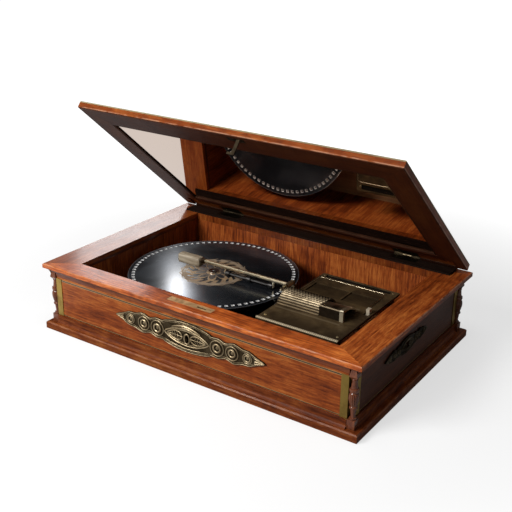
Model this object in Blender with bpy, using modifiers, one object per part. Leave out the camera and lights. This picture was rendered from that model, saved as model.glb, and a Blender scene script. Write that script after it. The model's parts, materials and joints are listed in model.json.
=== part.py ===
"""Table-top disc music box: a mahogany case, a mirrored lid and a disc-playing movement.

Frame: +X to the right, +Y to the back, +Z up, origin on the underside, in the middle of the case.
Every length is in metres.
"""

import math

import bmesh
import bpy
from mathutils import Matrix, Vector

MM = 0.001
GAP = 0.3 * MM

# Case, seen from outside
PLINTH_PROUD_SIDE = 17.0 * MM
PLINTH_PROUD_FRONT = 11.4 * MM
PLINTH_HEIGHT = 13.0 * MM
PLINTH_BEVEL = 2.0 * MM
CARCASE_LENGTH = 588.0 * MM
CARCASE_DEPTH = 384.0 * MM
WALL = 10.5 * MM
BASE_MOULDING_TOP = 28.0 * MM
BASE_MOULDING_BAND = 3.0 * MM
BASE_MOULDING_FOOT = 9.0 * MM
BASE_MOULDING_COVE = 6.7 * MM

# Cornice and rim, four mitred rails round the well
CORNICE_PROUD_SIDE = 17.0 * MM
CORNICE_PROUD_FRONT = 9.5 * MM
CASE_HEIGHT = 122.5 * MM
CORNICE_FACE = 7.5 * MM
CORNICE_ROUNDING = 1.0 * MM
COVE_WIDTH = 9.5 * MM
RAIL_HEIGHT = 21.5 * MM
RIM_THICKNESS = 12.5 * MM
SIDE_RIM = 56.0 * MM
FRONT_RIM = 38.3 * MM
LINING = 6.0 * MM

# Corner columns
COLUMN_SIZE = 13.0 * MM
COLUMN_PROUD_SIDE = 7.5 * MM
COLUMN_PROUD_FRONT = 2.5 * MM
COLUMN_HEAD_HEIGHT = 15.0 * MM
COLUMN_HEAD_DROP = 13.5 * MM
COLUMN_HEAD_CHAMFER = 4.0 * MM

# Folded brass in the corners
STRIP_WIDTH = 11.0 * MM
STRIP_THICKNESS = 0.8 * MM
STRIP_DROP = 3.0 * MM

# Escutcheons
FRONT_PLATE_LENGTH = 300.0 * MM
FRONT_PLATE_HEIGHT = 52.0 * MM
FRONT_PLATE_Z = 70.0 * MM
SIDE_PLATE_LENGTH = 152.0 * MM
SIDE_PLATE_HEIGHT = 27.0 * MM
ESCUTCHEON_THICKNESS = 1.8 * MM
FRETWORK_HOLES = 3
OUTLINE_STEPS = 24
KEYHOLE_RADIUS = 3.2 * MM
KEYHOLE_SLOT = 3.0 * MM
KEYHOLE_DROP = 9.0 * MM
KEYHOLE_X = 1.5 * MM
WINDING_HOLE = 9.0 * MM

# Lock in the front rail
LOCK_LENGTH = 69.0 * MM
LOCK_THICKNESS = 10.7 * MM
LOCK_BOTTOM = 56.0 * MM
LOCK_WALL = 2.0 * MM
LOCK_FRONT_WALL = 1.0 * MM
LOCK_INSET = 7.8 * MM
LOCK_PLATE_LENGTH = 87.0 * MM
LOCK_PLATE_WIDTH = 13.4 * MM
LOCK_PLATE_THICKNESS = 1.5 * MM
LOCK_PLATE_INSET = 11.5 * MM
LOCK_PLATE_X = -1.5 * MM
CATCH_SLOT_LENGTH = 18.5 * MM
CATCH_SLOT_WIDTH = 5.0 * MM
CATCH_X = 20.75 * MM
CATCH_THICKNESS = 1.8 * MM
CATCH_SHANK = 6.0 * MM
CATCH_TOE = 14.0 * MM
CATCH_TOE_HEIGHT = 4.0 * MM
CATCH_DROP = 24.8 * MM
CATCH_BASE_LENGTH = 32.0 * MM
CATCH_BASE_WIDTH = 11.0 * MM
CATCH_BASE_THICKNESS = 1.5 * MM
BOLT_LENGTH = 31.0 * MM
BOLT_HEIGHT = 6.0 * MM

# Lid
LID_SIDE_INSET = 7.2 * MM
LID_FRONT_INSET = 9.0 * MM
LID_THICKNESS = 12.8 * MM
LID_REAR_INSET = 6.0 * MM
LID_OPEN_ANGLE = math.radians(40.57)
LID_SIDE_WIDTH = 44.2 * MM
LID_FRONT_WIDTH = 46.7 * MM
LID_REAR_WIDTH = 43.9 * MM
LID_LIP = 2.2 * MM
LID_REBATE = 8.0 * MM
LID_ROUNDING = 1.0 * MM
MIRROR_THICKNESS = 3.0 * MM
LID_STRIP_WIDTH = 4.0 * MM
LID_STRIP_HEIGHT = 2.5 * MM

# Hinges
BATTEN_SIDE_INSET = 10.0 * MM
BATTEN_THICKNESS = 2.7 * MM
BATTEN_BACK_INSET = 9.5 * MM
HINGE_SPREAD = 380.0 * MM
HINGE_LENGTH = 50.0 * MM
HINGE_LEAF = 1.2 * MM
HINGE_LEAF_DEPTH = 22.9 * MM
HINGE_AXIS_INSET = 2.6 * MM
KNUCKLE_RADIUS = 2.8 * MM
HINGE_PIN_RADIUS = 1.2 * MM
MIDDLE_KNUCKLE = 16.0 * MM

# Disc and spindle
DISC_X = -92.0 * MM
DISC_RADIUS = 152.4 * MM
DISC_TOP = 91.7 * MM
DISC_THICKNESS = 1.2 * MM
DISC_SLOTS = 80
SLOT_CIRCLE = 143.0 * MM
SLOT_SIZE = 5.5 * MM
SPINDLE_RADIUS = 2.9 * MM
SPINDLE_POST = 7.0 * MM
SPINDLE_FLANGE = 10.0 * MM
SPINDLE_TOP = 95.4 * MM
HUB_RADIUS = 9.5 * MM
HUB_THICKNESS = 2.8 * MM

# Bedplate, comb and star wheels
BED_LEFT = -235.0 * MM
BED_RIGHT = 71.0 * MM
BED_WIDTH = 170.0 * MM
BED_BOTTOM = 30.0 * MM
BED_THICKNESS = 6.0 * MM
BED_FOOT_RADIUS = 6.0 * MM
BED_FOOT_INSET = 14.0 * MM
STAR_COUNT = 12
STAR_POINTS = 6
STAR_RADIUS = 6.0 * MM
STAR_ROOT = 3.6 * MM
STAR_THICKNESS = 1.6 * MM
STAR_BORE = 1.6 * MM
STAR_SLEEVE = 2.6 * MM
STAR_SHAFT_RADIUS = 1.2 * MM
STAR_LEFT = -60.0 * MM
STAR_RIGHT = 38.0 * MM
STAR_Z = 84.0 * MM
STAR_POST = 4.0 * MM
STAR_END_ROOM = 6.5 * MM
COMB_LENGTH = 110.0 * MM
COMB_THICKNESS = 2.0 * MM
COMB_TOOTH_LENGTH = 28.0 * MM
COMB_BACK = 26.0 * MM
COMB_TEETH = 30
COMB_SHIFT = 1.5 * MM

# Pressure bar over the disc
BAR_AXIS_X = 66.0 * MM
BAR_AXIS_Z = 108.0 * MM
BAR_RADIUS = 3.4 * MM
BAR_EYE_RADIUS = 4.4 * MM
BAR_EYE_WIDTH = 17.0 * MM
BAR_ROD_END_X = -118.0 * MM
BAR_PIN_RADIUS = 2.0 * MM
BAR_PIN_FRONT = -25.0 * MM
BAR_PIN_BACK = 17.0 * MM
BAR_COLLAR_RADIUS = 5.0 * MM
BAR_COLLAR_WIDTH = 7.0 * MM
EAR_WIDTH = 9.2 * MM
EAR_THICKNESS = 4.0 * MM
BRIDGE_ABOVE_SHAFT = 10.0 * MM
HANDLE_LEFT_X = -168.0 * MM
HANDLE_RIGHT_X = -118.6 * MM
HANDLE_WIDTH = 17.0 * MM
HANDLE_BOTTOM = 95.0 * MM
HANDLE_TOP = 113.0 * MM
HANDLE_ROUNDING = 4.0 * MM
ROLLER_RADIUS = 5.0 * MM
ROLLER_WIDTH = 8.0 * MM
ROLLER_SHAFT = 1.2 * MM
ROLLER_BORE = 1.6 * MM
ROLLER_TUBE = 2.8 * MM
ROLLER_PLACES = 3
ROLLER_FIRST_X = -60.0 * MM
ROLLER_SPACING = 45.0 * MM
ROLLER_LUG = 2.0 * MM

# Motor plate and the covers on it
PLATE_LEFT = 72.0 * MM
PLATE_RIGHT = 221.0 * MM
PLATE_WIDTH = 217.0 * MM
PLATE_TOP = 93.3 * MM
PLATE_THICKNESS = 4.0 * MM
PLATE_BEAD_RADIUS = 3.2 * MM
POCKET_DEPTH = 2.0 * MM
POCKET_WALL = 3.0 * MM
POCKET_LEFT = 82.0 * MM
POCKET_SPLIT = 150.0 * MM
POCKET_RIGHT = 208.0 * MM
POCKET_FRONT = 26.0 * MM
POCKET_BACK = 65.0 * MM
GROOVE_FRONT = 95.0 * MM
GROOVE_BACK = 105.0 * MM
POST_RADIUS = 5.0 * MM
POST_INSET = 8.0 * MM
COVER_LEFT = 72.5 * MM
COVER_RIGHT = 151.5 * MM
COVER_RADIUS = 36.5 * MM
COVER_VALLEY = 34.9 * MM
COVER_INNER = 33.6 * MM
COVER_RIBS = 16
COVER_END = 2.0 * MM
HOUSING_LEFT = 152.0 * MM
HOUSING_RIGHT = 190.0 * MM
HOUSING_FRONT = -45.0 * MM
HOUSING_DEPTH = 44.0 * MM
HOUSING_HEIGHT = 18.2 * MM
HOUSING_WALL = 2.0 * MM
HOUSING_EDGE = 1.0 * MM
RING_WIDTH = 6.7 * MM
RING_PROUD = 1.5 * MM
RING_WALL = 4.0 * MM

# Spring motor: all wheels turn about axes parallel to X
WINDING_Y = -18.0 * MM
WINDING_Z = 74.0 * MM
SPROCKET_Z = 66.0 * MM
SPROCKET_TEETH = 14
SPROCKET_TIP = 27.0 * MM
SPROCKET_ROOT = 21.5 * MM
SPROCKET_TOOTH = 3.6 * MM
SPROCKET_THICKNESS = 3.0 * MM
GEAR_MODULE = 1.5 * MM
TOOTH_HEIGHT = 1.0 * MM
TOOTH_DEPTH = 1.5 * MM
TOOTH_FILL = 0.42
GREAT_WHEEL_TEETH = 40
SECOND_PINION_TEETH = 10
SECOND_WHEEL_TEETH = 26
SPROCKET_PINION_TEETH = 12
WORM_WHEEL_TEETH = 28
WHEEL_THICKNESS = 3.0 * MM
SHAFT_RADIUS = 3.0 * MM
SHAFT_CLEARANCE = 0.3 * MM
FRAME_LEFT = 72.5 * MM
FRAME_PLATE = 2.5 * MM
FRAME_RIGHT = 150.0 * MM
FRAME_FRONT_Y = -60.0 * MM
FRAME_BACK_Y = 39.0 * MM
PILLAR_RADIUS = 3.5 * MM
PILLAR_INSET = 5.0 * MM
PILLAR_LOW_Z = 20.0 * MM
PILLAR_HIGH_Z = 82.0 * MM
SECOND_WHEEL_X = 77.0 * MM
GREAT_WHEEL_X = 82.0 * MM
WORM_WHEEL_X = 136.0 * MM
DRUM_RADIUS = 27.5 * MM
DRUM_RIGHT = 124.0 * MM
DRUM_WALL = 2.0 * MM
ARBOR_RADIUS = 5.0 * MM
ARBOR_SQUARE = 6.0 * MM
ARBOR_END_INSET = 13.0 * MM
SPRING_TURNS = 4
SPRING_TURN_POINTS = 14
SPRING_THICKNESS = 0.8 * MM
SPRING_INNER = 8.0 * MM
RATCHET_TEETH = 16
RATCHET_TIP = 11.0 * MM
RATCHET_ROOT = 9.0 * MM
RATCHET_THICKNESS = 3.0 * MM
CLICK_PIVOT_DISTANCE = 20.0 * MM
CLICK_PIVOT_ANGLE = math.radians(-37.0)
CLICK_TIP_ANGLE = math.radians(8.0)
CLICK_PIVOT_RADIUS = 2.0 * MM
CLICK_BOSS = 4.0 * MM
WORM_CORE = 1.9 * MM
WORM_TIP = 3.9 * MM
WORM_PITCH_RADIUS = 3.4 * MM
WORM_HALF_LENGTH = 8.0 * MM
WORM_LEVELS = 20
FLY_SHAFT = 1.6 * MM
FLY_RADIUS = 11.0 * MM
FLY_BOTTOM = 62.0 * MM
FLY_HEIGHT = 16.0 * MM
FLY_BLADE = 1.0 * MM
FLY_SHAFT_BOTTOM = 17.0 * MM
FLY_SHAFT_TOP = 88.0 * MM
FLY_ARM_THICKNESS = 3.0 * MM
FLY_ARM_HALF = 4.0 * MM

# Start lever at the plate's right edge
LEVER_PIVOT_X = 178.0 * MM
LEVER_PIVOT_Y = 10.0 * MM
LEVER_STUD = 2.0 * MM
LEVER_BOSS = 5.0 * MM
LEVER_LENGTH = 35.0 * MM
LEVER_WIDTH = 6.0 * MM
LEVER_TAB = 8.0 * MM
LEVER_THICKNESS = 3.0 * MM
LEVER_TOP = 101.0 * MM
LEVER_SWING = math.radians(8.0)
LEVER_NOTCH_MARGIN = 1.0 * MM

ROUND_SEGMENTS = 16
FINE_SEGMENTS = 24
SMOOTH_ANGLE = math.radians(35.0)
MERGE = 0.00001

# Places that follow from the sizes above
FRONT_Y = -CARCASE_DEPTH / 2
SIDE_X = CARCASE_LENGTH / 2
WALL_BOTTOM = PLINTH_HEIGHT + GAP
RAIL_BOTTOM = CASE_HEIGHT - RAIL_HEIGHT
WALL_TOP = RAIL_BOTTOM - GAP
STRIP_TOP = RAIL_BOTTOM - STRIP_DROP
COLUMN_HEAD_TOP = CASE_HEIGHT - COLUMN_HEAD_DROP
COLUMN_HEAD_BOTTOM = COLUMN_HEAD_TOP - COLUMN_HEAD_HEIGHT
PLINTH_LENGTH = CARCASE_LENGTH + 2 * PLINTH_PROUD_SIDE
PLINTH_DEPTH = CARCASE_DEPTH + 2 * PLINTH_PROUD_FRONT
CORNICE_LENGTH = CARCASE_LENGTH + 2 * CORNICE_PROUD_SIDE
CORNICE_DEPTH = CARCASE_DEPTH + 2 * CORNICE_PROUD_FRONT
LOCK_FRONT_Y = LOCK_INSET - CARCASE_DEPTH / 2
LOCK_PLATE_Y = LOCK_PLATE_INSET - CARCASE_DEPTH / 2
BATTEN_LENGTH = CARCASE_LENGTH - 2 * BATTEN_SIDE_INSET
ARBOR_RIGHT = CARCASE_LENGTH / 2 - ARBOR_END_INSET
WELL_X = CORNICE_LENGTH / 2 - SIDE_RIM
WELL_Y = CORNICE_DEPTH / 2 - FRONT_RIM
COLUMN_X = SIDE_X + COLUMN_PROUD_SIDE - COLUMN_SIZE / 2
COLUMN_Y = CARCASE_DEPTH / 2 + COLUMN_PROUD_FRONT - COLUMN_SIZE / 2
BRASS_ROOM = 2 * GAP + STRIP_THICKNESS
WALL_END_X = COLUMN_X - COLUMN_SIZE / 2 - BRASS_ROOM
WALL_END_Y = min(COLUMN_Y - COLUMN_SIZE / 2 - BRASS_ROOM, CARCASE_DEPTH / 2 - WALL - GAP)
LID_BOTTOM = CASE_HEIGHT + GAP
LID_BACK = CORNICE_DEPTH / 2 - LID_REAR_INSET
LID_FRONT = LID_FRONT_INSET - CORNICE_DEPTH / 2
LID_LENGTH = CORNICE_LENGTH - 2 * LID_SIDE_INSET
BATTEN_TOP = LID_BOTTOM + BATTEN_THICKNESS
BATTEN_BACK = CORNICE_DEPTH / 2 - BATTEN_BACK_INSET
HINGE = Vector((0.0, CORNICE_DEPTH / 2 - HINGE_AXIS_INSET, BATTEN_TOP + GAP / 2))
DISC_BOTTOM = DISC_TOP - DISC_THICKNESS
BED_TOP = BED_BOTTOM + BED_THICKNESS
BED_SEAT = BED_TOP + GAP
SPROCKET_X = DISC_X + SLOT_CIRCLE
PLATE_BOTTOM = PLATE_TOP - PLATE_THICKNESS
PLATE_SEAT = PLATE_TOP + GAP
FRAME_TOP = PLATE_BOTTOM - GAP
LOCK_TOP = CASE_HEIGHT - LOCK_PLATE_THICKNESS - 2 * GAP
CAVITY_FRONT_Y = LOCK_FRONT_Y + LOCK_FRONT_WALL
CAVITY_BACK_Y = LOCK_FRONT_Y + LOCK_THICKNESS - LOCK_WALL

PARTS = bpy.data.collections.new("music_box")
CUTTERS = bpy.data.collections.new("cutters")


class Finish:
    """The colours that the parts are made in."""

    table = {
        "mahogany": ((0.33, 0.095, 0.032), 0.32, 0.0),
        "dark_wood": ((0.05, 0.018, 0.01), 0.4, 0.0),
        "pine": ((0.36, 0.22, 0.11), 0.6, 0.0),
        "brass": ((0.55, 0.44, 0.2), 0.34, 1.0),
        "bronze": ((0.2, 0.155, 0.085), 0.42, 1.0),
        "steel": ((0.46, 0.46, 0.45), 0.32, 1.0),
        "blued_steel": ((0.05, 0.06, 0.075), 0.22, 1.0),
        "iron": ((0.1, 0.1, 0.1), 0.55, 1.0),
        "mirror": ((0.8, 0.8, 0.8), 0.04, 1.0),
        "holly": ((0.62, 0.53, 0.33), 0.45, 0.0),
    }

    @classmethod
    def material(cls, name):
        """Give the Principled material of one finish, made when it is first asked for."""
        found = bpy.data.materials.get(name)
        if found:
            return found
        colour, roughness, metallic = cls.table[name]
        made = bpy.data.materials.new(name)
        made.use_nodes = True
        shader = made.node_tree.nodes["Principled BSDF"]
        shader.inputs["Base Color"].default_value = (*colour, 1.0)
        shader.inputs["Roughness"].default_value = roughness
        shader.inputs["Metallic"].default_value = metallic
        return made


def clear_scene():
    """Remove what the scene holds and link the two collections."""
    for obj in list(bpy.data.objects):
        bpy.data.objects.remove(obj, do_unlink=True)
    bpy.context.scene.collection.children.link(PARTS)
    bpy.context.scene.collection.children.link(CUTTERS)


def add_box(bm, low, high):
    """Add a box between two corners."""
    low, high = Vector(low), Vector(high)
    place = Matrix.Translation((low + high) / 2) @ Matrix.Diagonal((*(high - low), 1.0))
    bmesh.ops.create_cube(bm, size=1.0, matrix=place)


AXIS_TURN = {
    "X": Matrix.Rotation(math.pi / 2, 4, "Y"),
    "Y": Matrix.Rotation(-math.pi / 2, 4, "X"),
    "Z": Matrix.Identity(4),
}


def add_rod(bm, start, length, radius, axis="X", segments=ROUND_SEGMENTS, end_radius=None):
    """Add a cylinder, or a cone, that starts at a point and runs along an axis."""
    direction = Vector([float(axis == letter) for letter in "XYZ"])
    centre = Vector(start) + direction * length / 2
    bmesh.ops.create_cone(
        bm,
        cap_ends=True,
        segments=segments,
        radius1=radius,
        radius2=radius if end_radius is None else end_radius,
        depth=length,
        matrix=Matrix.Translation(centre) @ AXIS_TURN[axis],
    )


def add_prism(bm, outline, start, length, axis="X"):
    """Extrude a closed outline along an axis.

    The outline's pairs are (y, z) for X, (x, z) for Y and (x, y) for Z.
    """
    order = {"X": (2, 0, 1), "Y": (0, 2, 1), "Z": (0, 1, 2)}[axis]
    ring = []
    for first, second in outline:
        values = (first, second, start)
        ring.append(bm.verts.new([values[k] for k in order]))
    face = bm.faces.new(ring)
    grown = bmesh.ops.extrude_face_region(bm, geom=[face])
    moved = [item for item in grown["geom"] if isinstance(item, bmesh.types.BMVert)]
    step = Vector([length * float(axis == letter) for letter in "XYZ"])
    bmesh.ops.translate(bm, verts=moved, vec=step)


def make(name, build, finish, origin=(0.0, 0.0, 0.0), smooth=True, collection=PARTS):
    """Make an object from what a function adds to a bmesh in world coordinates."""
    bm = bmesh.new()
    build(bm)
    bmesh.ops.translate(bm, verts=bm.verts, vec=-Vector(origin))
    bmesh.ops.recalc_face_normals(bm, faces=bm.faces)
    mesh = bpy.data.meshes.new(name)
    bm.to_mesh(mesh)
    bm.free()
    obj = bpy.data.objects.new(name, mesh)
    obj.location = origin
    collection.objects.link(obj)
    mesh.materials.append(Finish.material(finish))
    if smooth:
        soften(obj)
    return obj


def soften(obj):
    """Shade smooth, with the real edges kept sharp."""
    obj.data.shade_smooth()
    obj.data.set_sharp_from_angle(angle=SMOOTH_ANGLE)


def bake(obj):
    """Replace an object's mesh with its evaluated one, welded and facing outwards."""
    bpy.context.view_layer.update()
    graph = bpy.context.evaluated_depsgraph_get()
    mesh = bpy.data.meshes.new_from_object(obj.evaluated_get(graph))
    bm = bmesh.new()
    bm.from_mesh(mesh)
    bmesh.ops.remove_doubles(bm, verts=bm.verts, dist=MERGE)
    bmesh.ops.recalc_face_normals(bm, faces=bm.faces)
    bm.to_mesh(mesh)
    bm.free()
    obj.modifiers.clear()
    obj.data = mesh
    soften(obj)


def combine(obj, build, operation, solver="EXACT"):
    """Join a shape to an object, or cut it away, with a Boolean."""
    tool = make(obj.name + "_tool", build, "iron", smooth=False, collection=CUTTERS)
    tool.hide_render = True
    tool.display_type = "WIRE"
    modifier = obj.modifiers.new("shape", "BOOLEAN")
    modifier.operation = operation
    modifier.object = tool
    modifier.solver = solver
    modifier.use_self = solver == "EXACT"
    bake(obj)
    bpy.data.objects.remove(tool, do_unlink=True)
    return obj


def cut(obj, build, solver="EXACT"):
    """Cut a shape away from an object."""
    return combine(obj, build, "DIFFERENCE", solver)


def join(obj, build):
    """Join a shape to an object."""
    return combine(obj, build, "UNION")


def turned(name, profile, finish, location, segments=ROUND_SEGMENTS):
    """Turn a (radius, height) profile, given top to bottom, about the vertical axis."""
    mesh = bpy.data.meshes.new(name)
    points = [(radius, 0.0, height) for radius, height in profile]
    mesh.from_pydata(points, [(k, k + 1) for k in range(len(points) - 1)], [])
    obj = bpy.data.objects.new(name, mesh)
    obj.location = location
    PARTS.objects.link(obj)
    mesh.materials.append(Finish.material(finish))
    screw = obj.modifiers.new("turn", "SCREW")
    screw.steps = segments
    screw.render_steps = segments
    screw.use_merge_vertices = True
    screw.merge_threshold = MERGE
    bake(obj)
    return obj


def fretted(name, outlines, thickness, finish, location, rotation=(0.0, 0.0, 0.0)):
    """Make a flat plate from a filled curve: the first outline is the edge, the others are holes."""
    curve = bpy.data.curves.new(name, "CURVE")
    curve.dimensions = "2D"
    curve.fill_mode = "BOTH"
    curve.extrude = thickness / 2
    for outline in outlines:
        spline = curve.splines.new("POLY")
        spline.points.add(len(outline) - 1)
        for point, (x, y) in zip(spline.points, outline):
            point.co = (x, y, 0.0, 1.0)
        spline.use_cyclic_u = True
    flat = bpy.data.objects.new(name + "_curve", curve)
    PARTS.objects.link(flat)
    flat.location = location
    flat.rotation_euler = rotation
    bpy.context.view_layer.update()
    graph = bpy.context.evaluated_depsgraph_get()
    mesh = bpy.data.meshes.new_from_object(flat.evaluated_get(graph))
    obj = bpy.data.objects.new(name, mesh)
    obj.matrix_world = flat.matrix_world.copy()
    PARTS.objects.link(obj)
    bpy.data.objects.remove(flat, do_unlink=True)
    mesh.materials.clear()
    mesh.materials.append(Finish.material(finish))
    bake(obj)
    return obj


def circle(centre, radius, count, phase=0.0):
    """Points round a circle."""
    step = 2 * math.pi / count
    return [
        (centre[0] + radius * math.cos(phase + k * step), centre[1] + radius * math.sin(phase + k * step))
        for k in range(count)
    ]


def arc(centre, radius, start, end, count):
    """Points along an arc, both ends included."""
    return [
        (
            centre[0] + radius * math.cos(start + (end - start) * k / count),
            centre[1] + radius * math.sin(start + (end - start) * k / count),
        )
        for k in range(count + 1)
    ]


def mitre_inset(inset, own, other, square):
    """The neighbour's inset that meets an inset here: equal up to square, then to both inner edges."""
    if inset <= square:
        return inset
    return square + (inset - square) * (other - square) / (own - square)


def frame_length(name, side, frame, profile, finish, square):
    """One mitred length of a rectangular frame, swept from an (inset, z) profile.

    frame holds the outer half length, the front and rear y, and the widths of the sides,
    the front and the rear. The mitre is square up to the inset that square gives.
    """
    half, front, rear, side_width, front_width, rear_width = frame
    along_x = side in ("front", "rear")
    own = {"front": front_width, "rear": rear_width}.get(side, side_width)
    others = (side_width, side_width) if along_x else (front_width, rear_width)
    limits = (-half, half) if along_x else (front, rear)

    def place(inset, z, end):
        reach = mitre_inset(inset, own, others[end], square) + GAP / 2
        run = limits[end] + (reach if end == 0 else -reach)
        if side == "front":
            return (run, front + inset, z)
        if side == "rear":
            return (run, rear - inset, z)
        return ((half - inset) * (1 if side == "right" else -1), run, z)

    def build(bm):
        order = bm.verts.layers.int.get("order") or bm.verts.layers.int.new("order")
        ring = []
        for k, (inset, z) in enumerate(profile):
            vert = bm.verts.new(place(inset, z, 0))
            vert[order] = k
            ring.append(vert)
        caps = [bm.faces.new(ring)]
        bends = [ring[k] for k, (inset, _) in enumerate(profile) if inset == square]
        if len(bends) == 2:
            # The mitre bends where the inset passes the square part, so its face is split there
            caps.append(bmesh.utils.face_split(caps[0], *bends)[0])
        grown = bmesh.ops.extrude_face_region(bm, geom=caps)
        for item in grown["geom"]:
            if isinstance(item, bmesh.types.BMVert):
                item.co = place(*profile[item[order]], 1)

    return make(name, build, finish)


def boxes(*pairs):
    """A builder of separate boxes."""

    def build(bm):
        for low, high in pairs:
            add_box(bm, low, high)

    return build


def mirrored(x, y, z):
    """Four boxes, one per quarter, from the ranges in the +X, +Y quarter."""
    pairs = []
    for sx in (-1, 1):
        for sy in (-1, 1):
            xs = sorted((sx * x[0], sx * x[1]))
            ys = sorted((sy * y[0], sy * y[1]))
            pairs.append(((xs[0], ys[0], z[0]), (xs[1], ys[1], z[1])))
    return pairs


def column_blocks(grow, bottom, top):
    """The four square column blocks, grown by a clearance."""
    reach = COLUMN_SIZE / 2 + grow
    return boxes(*mirrored(
        (COLUMN_X - reach, COLUMN_X + reach),
        (COLUMN_Y - reach, COLUMN_Y + reach),
        (bottom, top),
    ))


def keyhole_cutter(bm):
    """The keyhole through the front of the case and of the lock."""
    top_z = FRONT_PLATE_Z
    add_rod(bm, (KEYHOLE_X, FRONT_Y - WALL, top_z), 2 * WALL, KEYHOLE_RADIUS, "Y", ROUND_SEGMENTS)
    half = KEYHOLE_SLOT / 2
    add_box(
        bm,
        (KEYHOLE_X - half, FRONT_Y - WALL, top_z - KEYHOLE_DROP),
        (KEYHOLE_X + half, FRONT_Y + WALL, top_z),
    )


def lock_envelope(grow, bottom, top):
    """The lock's space, from its own size and place."""
    half = LOCK_LENGTH / 2 + grow
    return boxes((
        (-half, LOCK_FRONT_Y - grow, bottom),
        (half, LOCK_FRONT_Y + LOCK_THICKNESS + grow, top),
    ))


def add_frame(bm, rings):
    """Sweep a profile round a rectangle.

    Each ring is a profile point: the half length, the front y, the rear y and the height there.
    """
    loops = []
    for half, front, rear, z in rings:
        corners = ((-half, front), (half, front), (half, rear), (-half, rear))
        loops.append([bm.verts.new((x, y, z)) for x, y in corners])
    for first, second in zip(loops, loops[1:] + loops[:1]):
        for k in range(4):
            after = (k + 1) % 4
            bm.faces.new((first[k], first[after], second[after], second[k]))


def make_plinth():
    """The bottom board, and the glued plinth with the moulding above its ledge."""
    make("bottom_board", boxes((
        (-SIDE_X, FRONT_Y, 0.0),
        (SIDE_X, -FRONT_Y, PLINTH_HEIGHT),
    )), "pine")
    half_x, half_y = PLINTH_LENGTH / 2, PLINTH_DEPTH / 2
    inner_x, inner_y = SIDE_X + GAP, CARCASE_DEPTH / 2 + GAP
    low_x, low_y = half_x - PLINTH_BEVEL, half_y - PLINTH_BEVEL
    plinth = make("plinth", lambda bm: add_frame(bm, [
        (half_x, -half_y, half_y, 0.0),
        (half_x, -half_y, half_y, PLINTH_HEIGHT - PLINTH_BEVEL),
        (low_x, -low_y, low_y, PLINTH_HEIGHT),
        (inner_x, -inner_y, inner_y, PLINTH_HEIGHT),
        (inner_x, -inner_y, inner_y, 0.0),
    ]), "mahogany")

    rise = BASE_MOULDING_COVE
    reach = BASE_MOULDING_FOOT - BASE_MOULDING_BAND
    foot = WALL_BOTTOM
    cove = [
        (BASE_MOULDING_FOOT - reach * math.sin(t), foot + rise - rise * math.cos(t))
        for t in (math.pi / 8, math.pi / 4, 3 * math.pi / 8, math.pi / 2)
    ]
    top = BASE_MOULDING_TOP - GAP
    section = [(GAP, foot - WALL / 2), (BASE_MOULDING_FOOT, foot - WALL / 2)]
    section += [(BASE_MOULDING_FOOT, foot)] + cove + [(BASE_MOULDING_BAND, top), (GAP, top)]
    end_x, end_y = COLUMN_X - COLUMN_SIZE / 2 - GAP, COLUMN_Y - COLUMN_SIZE / 2 - GAP

    def mouldings(bm):
        for sign in (-1, 1):
            across = [(sign * (CARCASE_DEPTH / 2 + out), z) for out, z in section]
            add_prism(bm, across, -end_x, 2 * end_x, "X")
            along = [(sign * (SIDE_X + out), z) for out, z in section]
            add_prism(bm, along, -end_y, 2 * end_y, "Y")

    join(plinth, mouldings)


def make_walls():
    """Four carcase walls and the lining boards of the well."""
    inner_y = CARCASE_DEPTH / 2 - WALL
    front = make("front_wall", boxes((
        (-WALL_END_X, FRONT_Y, WALL_BOTTOM),
        (WALL_END_X, -inner_y, WALL_TOP),
    )), "mahogany")
    cut(front, keyhole_cutter)
    cut(front, lock_envelope(GAP, LOCK_BOTTOM - GAP, CASE_HEIGHT))
    make("rear_wall", boxes((
        (-WALL_END_X, inner_y, WALL_BOTTOM),
        (WALL_END_X, -FRONT_Y, WALL_TOP),
    )), "mahogany")
    make("left_wall", boxes((
        (-SIDE_X, -WALL_END_Y, WALL_BOTTOM),
        (-SIDE_X + WALL, WALL_END_Y, WALL_TOP),
    )), "mahogany")
    right = make("right_wall", boxes((
        (SIDE_X - WALL, -WALL_END_Y, WALL_BOTTOM),
        (SIDE_X, WALL_END_Y, WALL_TOP),
    )), "mahogany")
    cut(right, winding_bore)

    top = CASE_HEIGHT - RIM_THICKNESS - GAP
    outer_x, outer_y = WELL_X + LINING, WELL_Y + LINING
    lining = make("well_lining", lambda bm: add_frame(bm, [
        (outer_x, -outer_y, outer_y, WALL_BOTTOM),
        (outer_x, -outer_y, outer_y, top),
        (WELL_X, -WELL_Y, WELL_Y, top),
        (WELL_X, -WELL_Y, WELL_Y, WALL_BOTTOM),
    ]), "mahogany")
    cut(lining, winding_bore)


def winding_bore(bm):
    """The way for the winding key through the right side of the case."""
    start = (WELL_X - LINING, WINDING_Y, WINDING_Z)
    add_rod(bm, start, PLINTH_LENGTH / 2 - WELL_X + LINING, WINDING_HOLE, "X", FINE_SEGMENTS)


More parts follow.
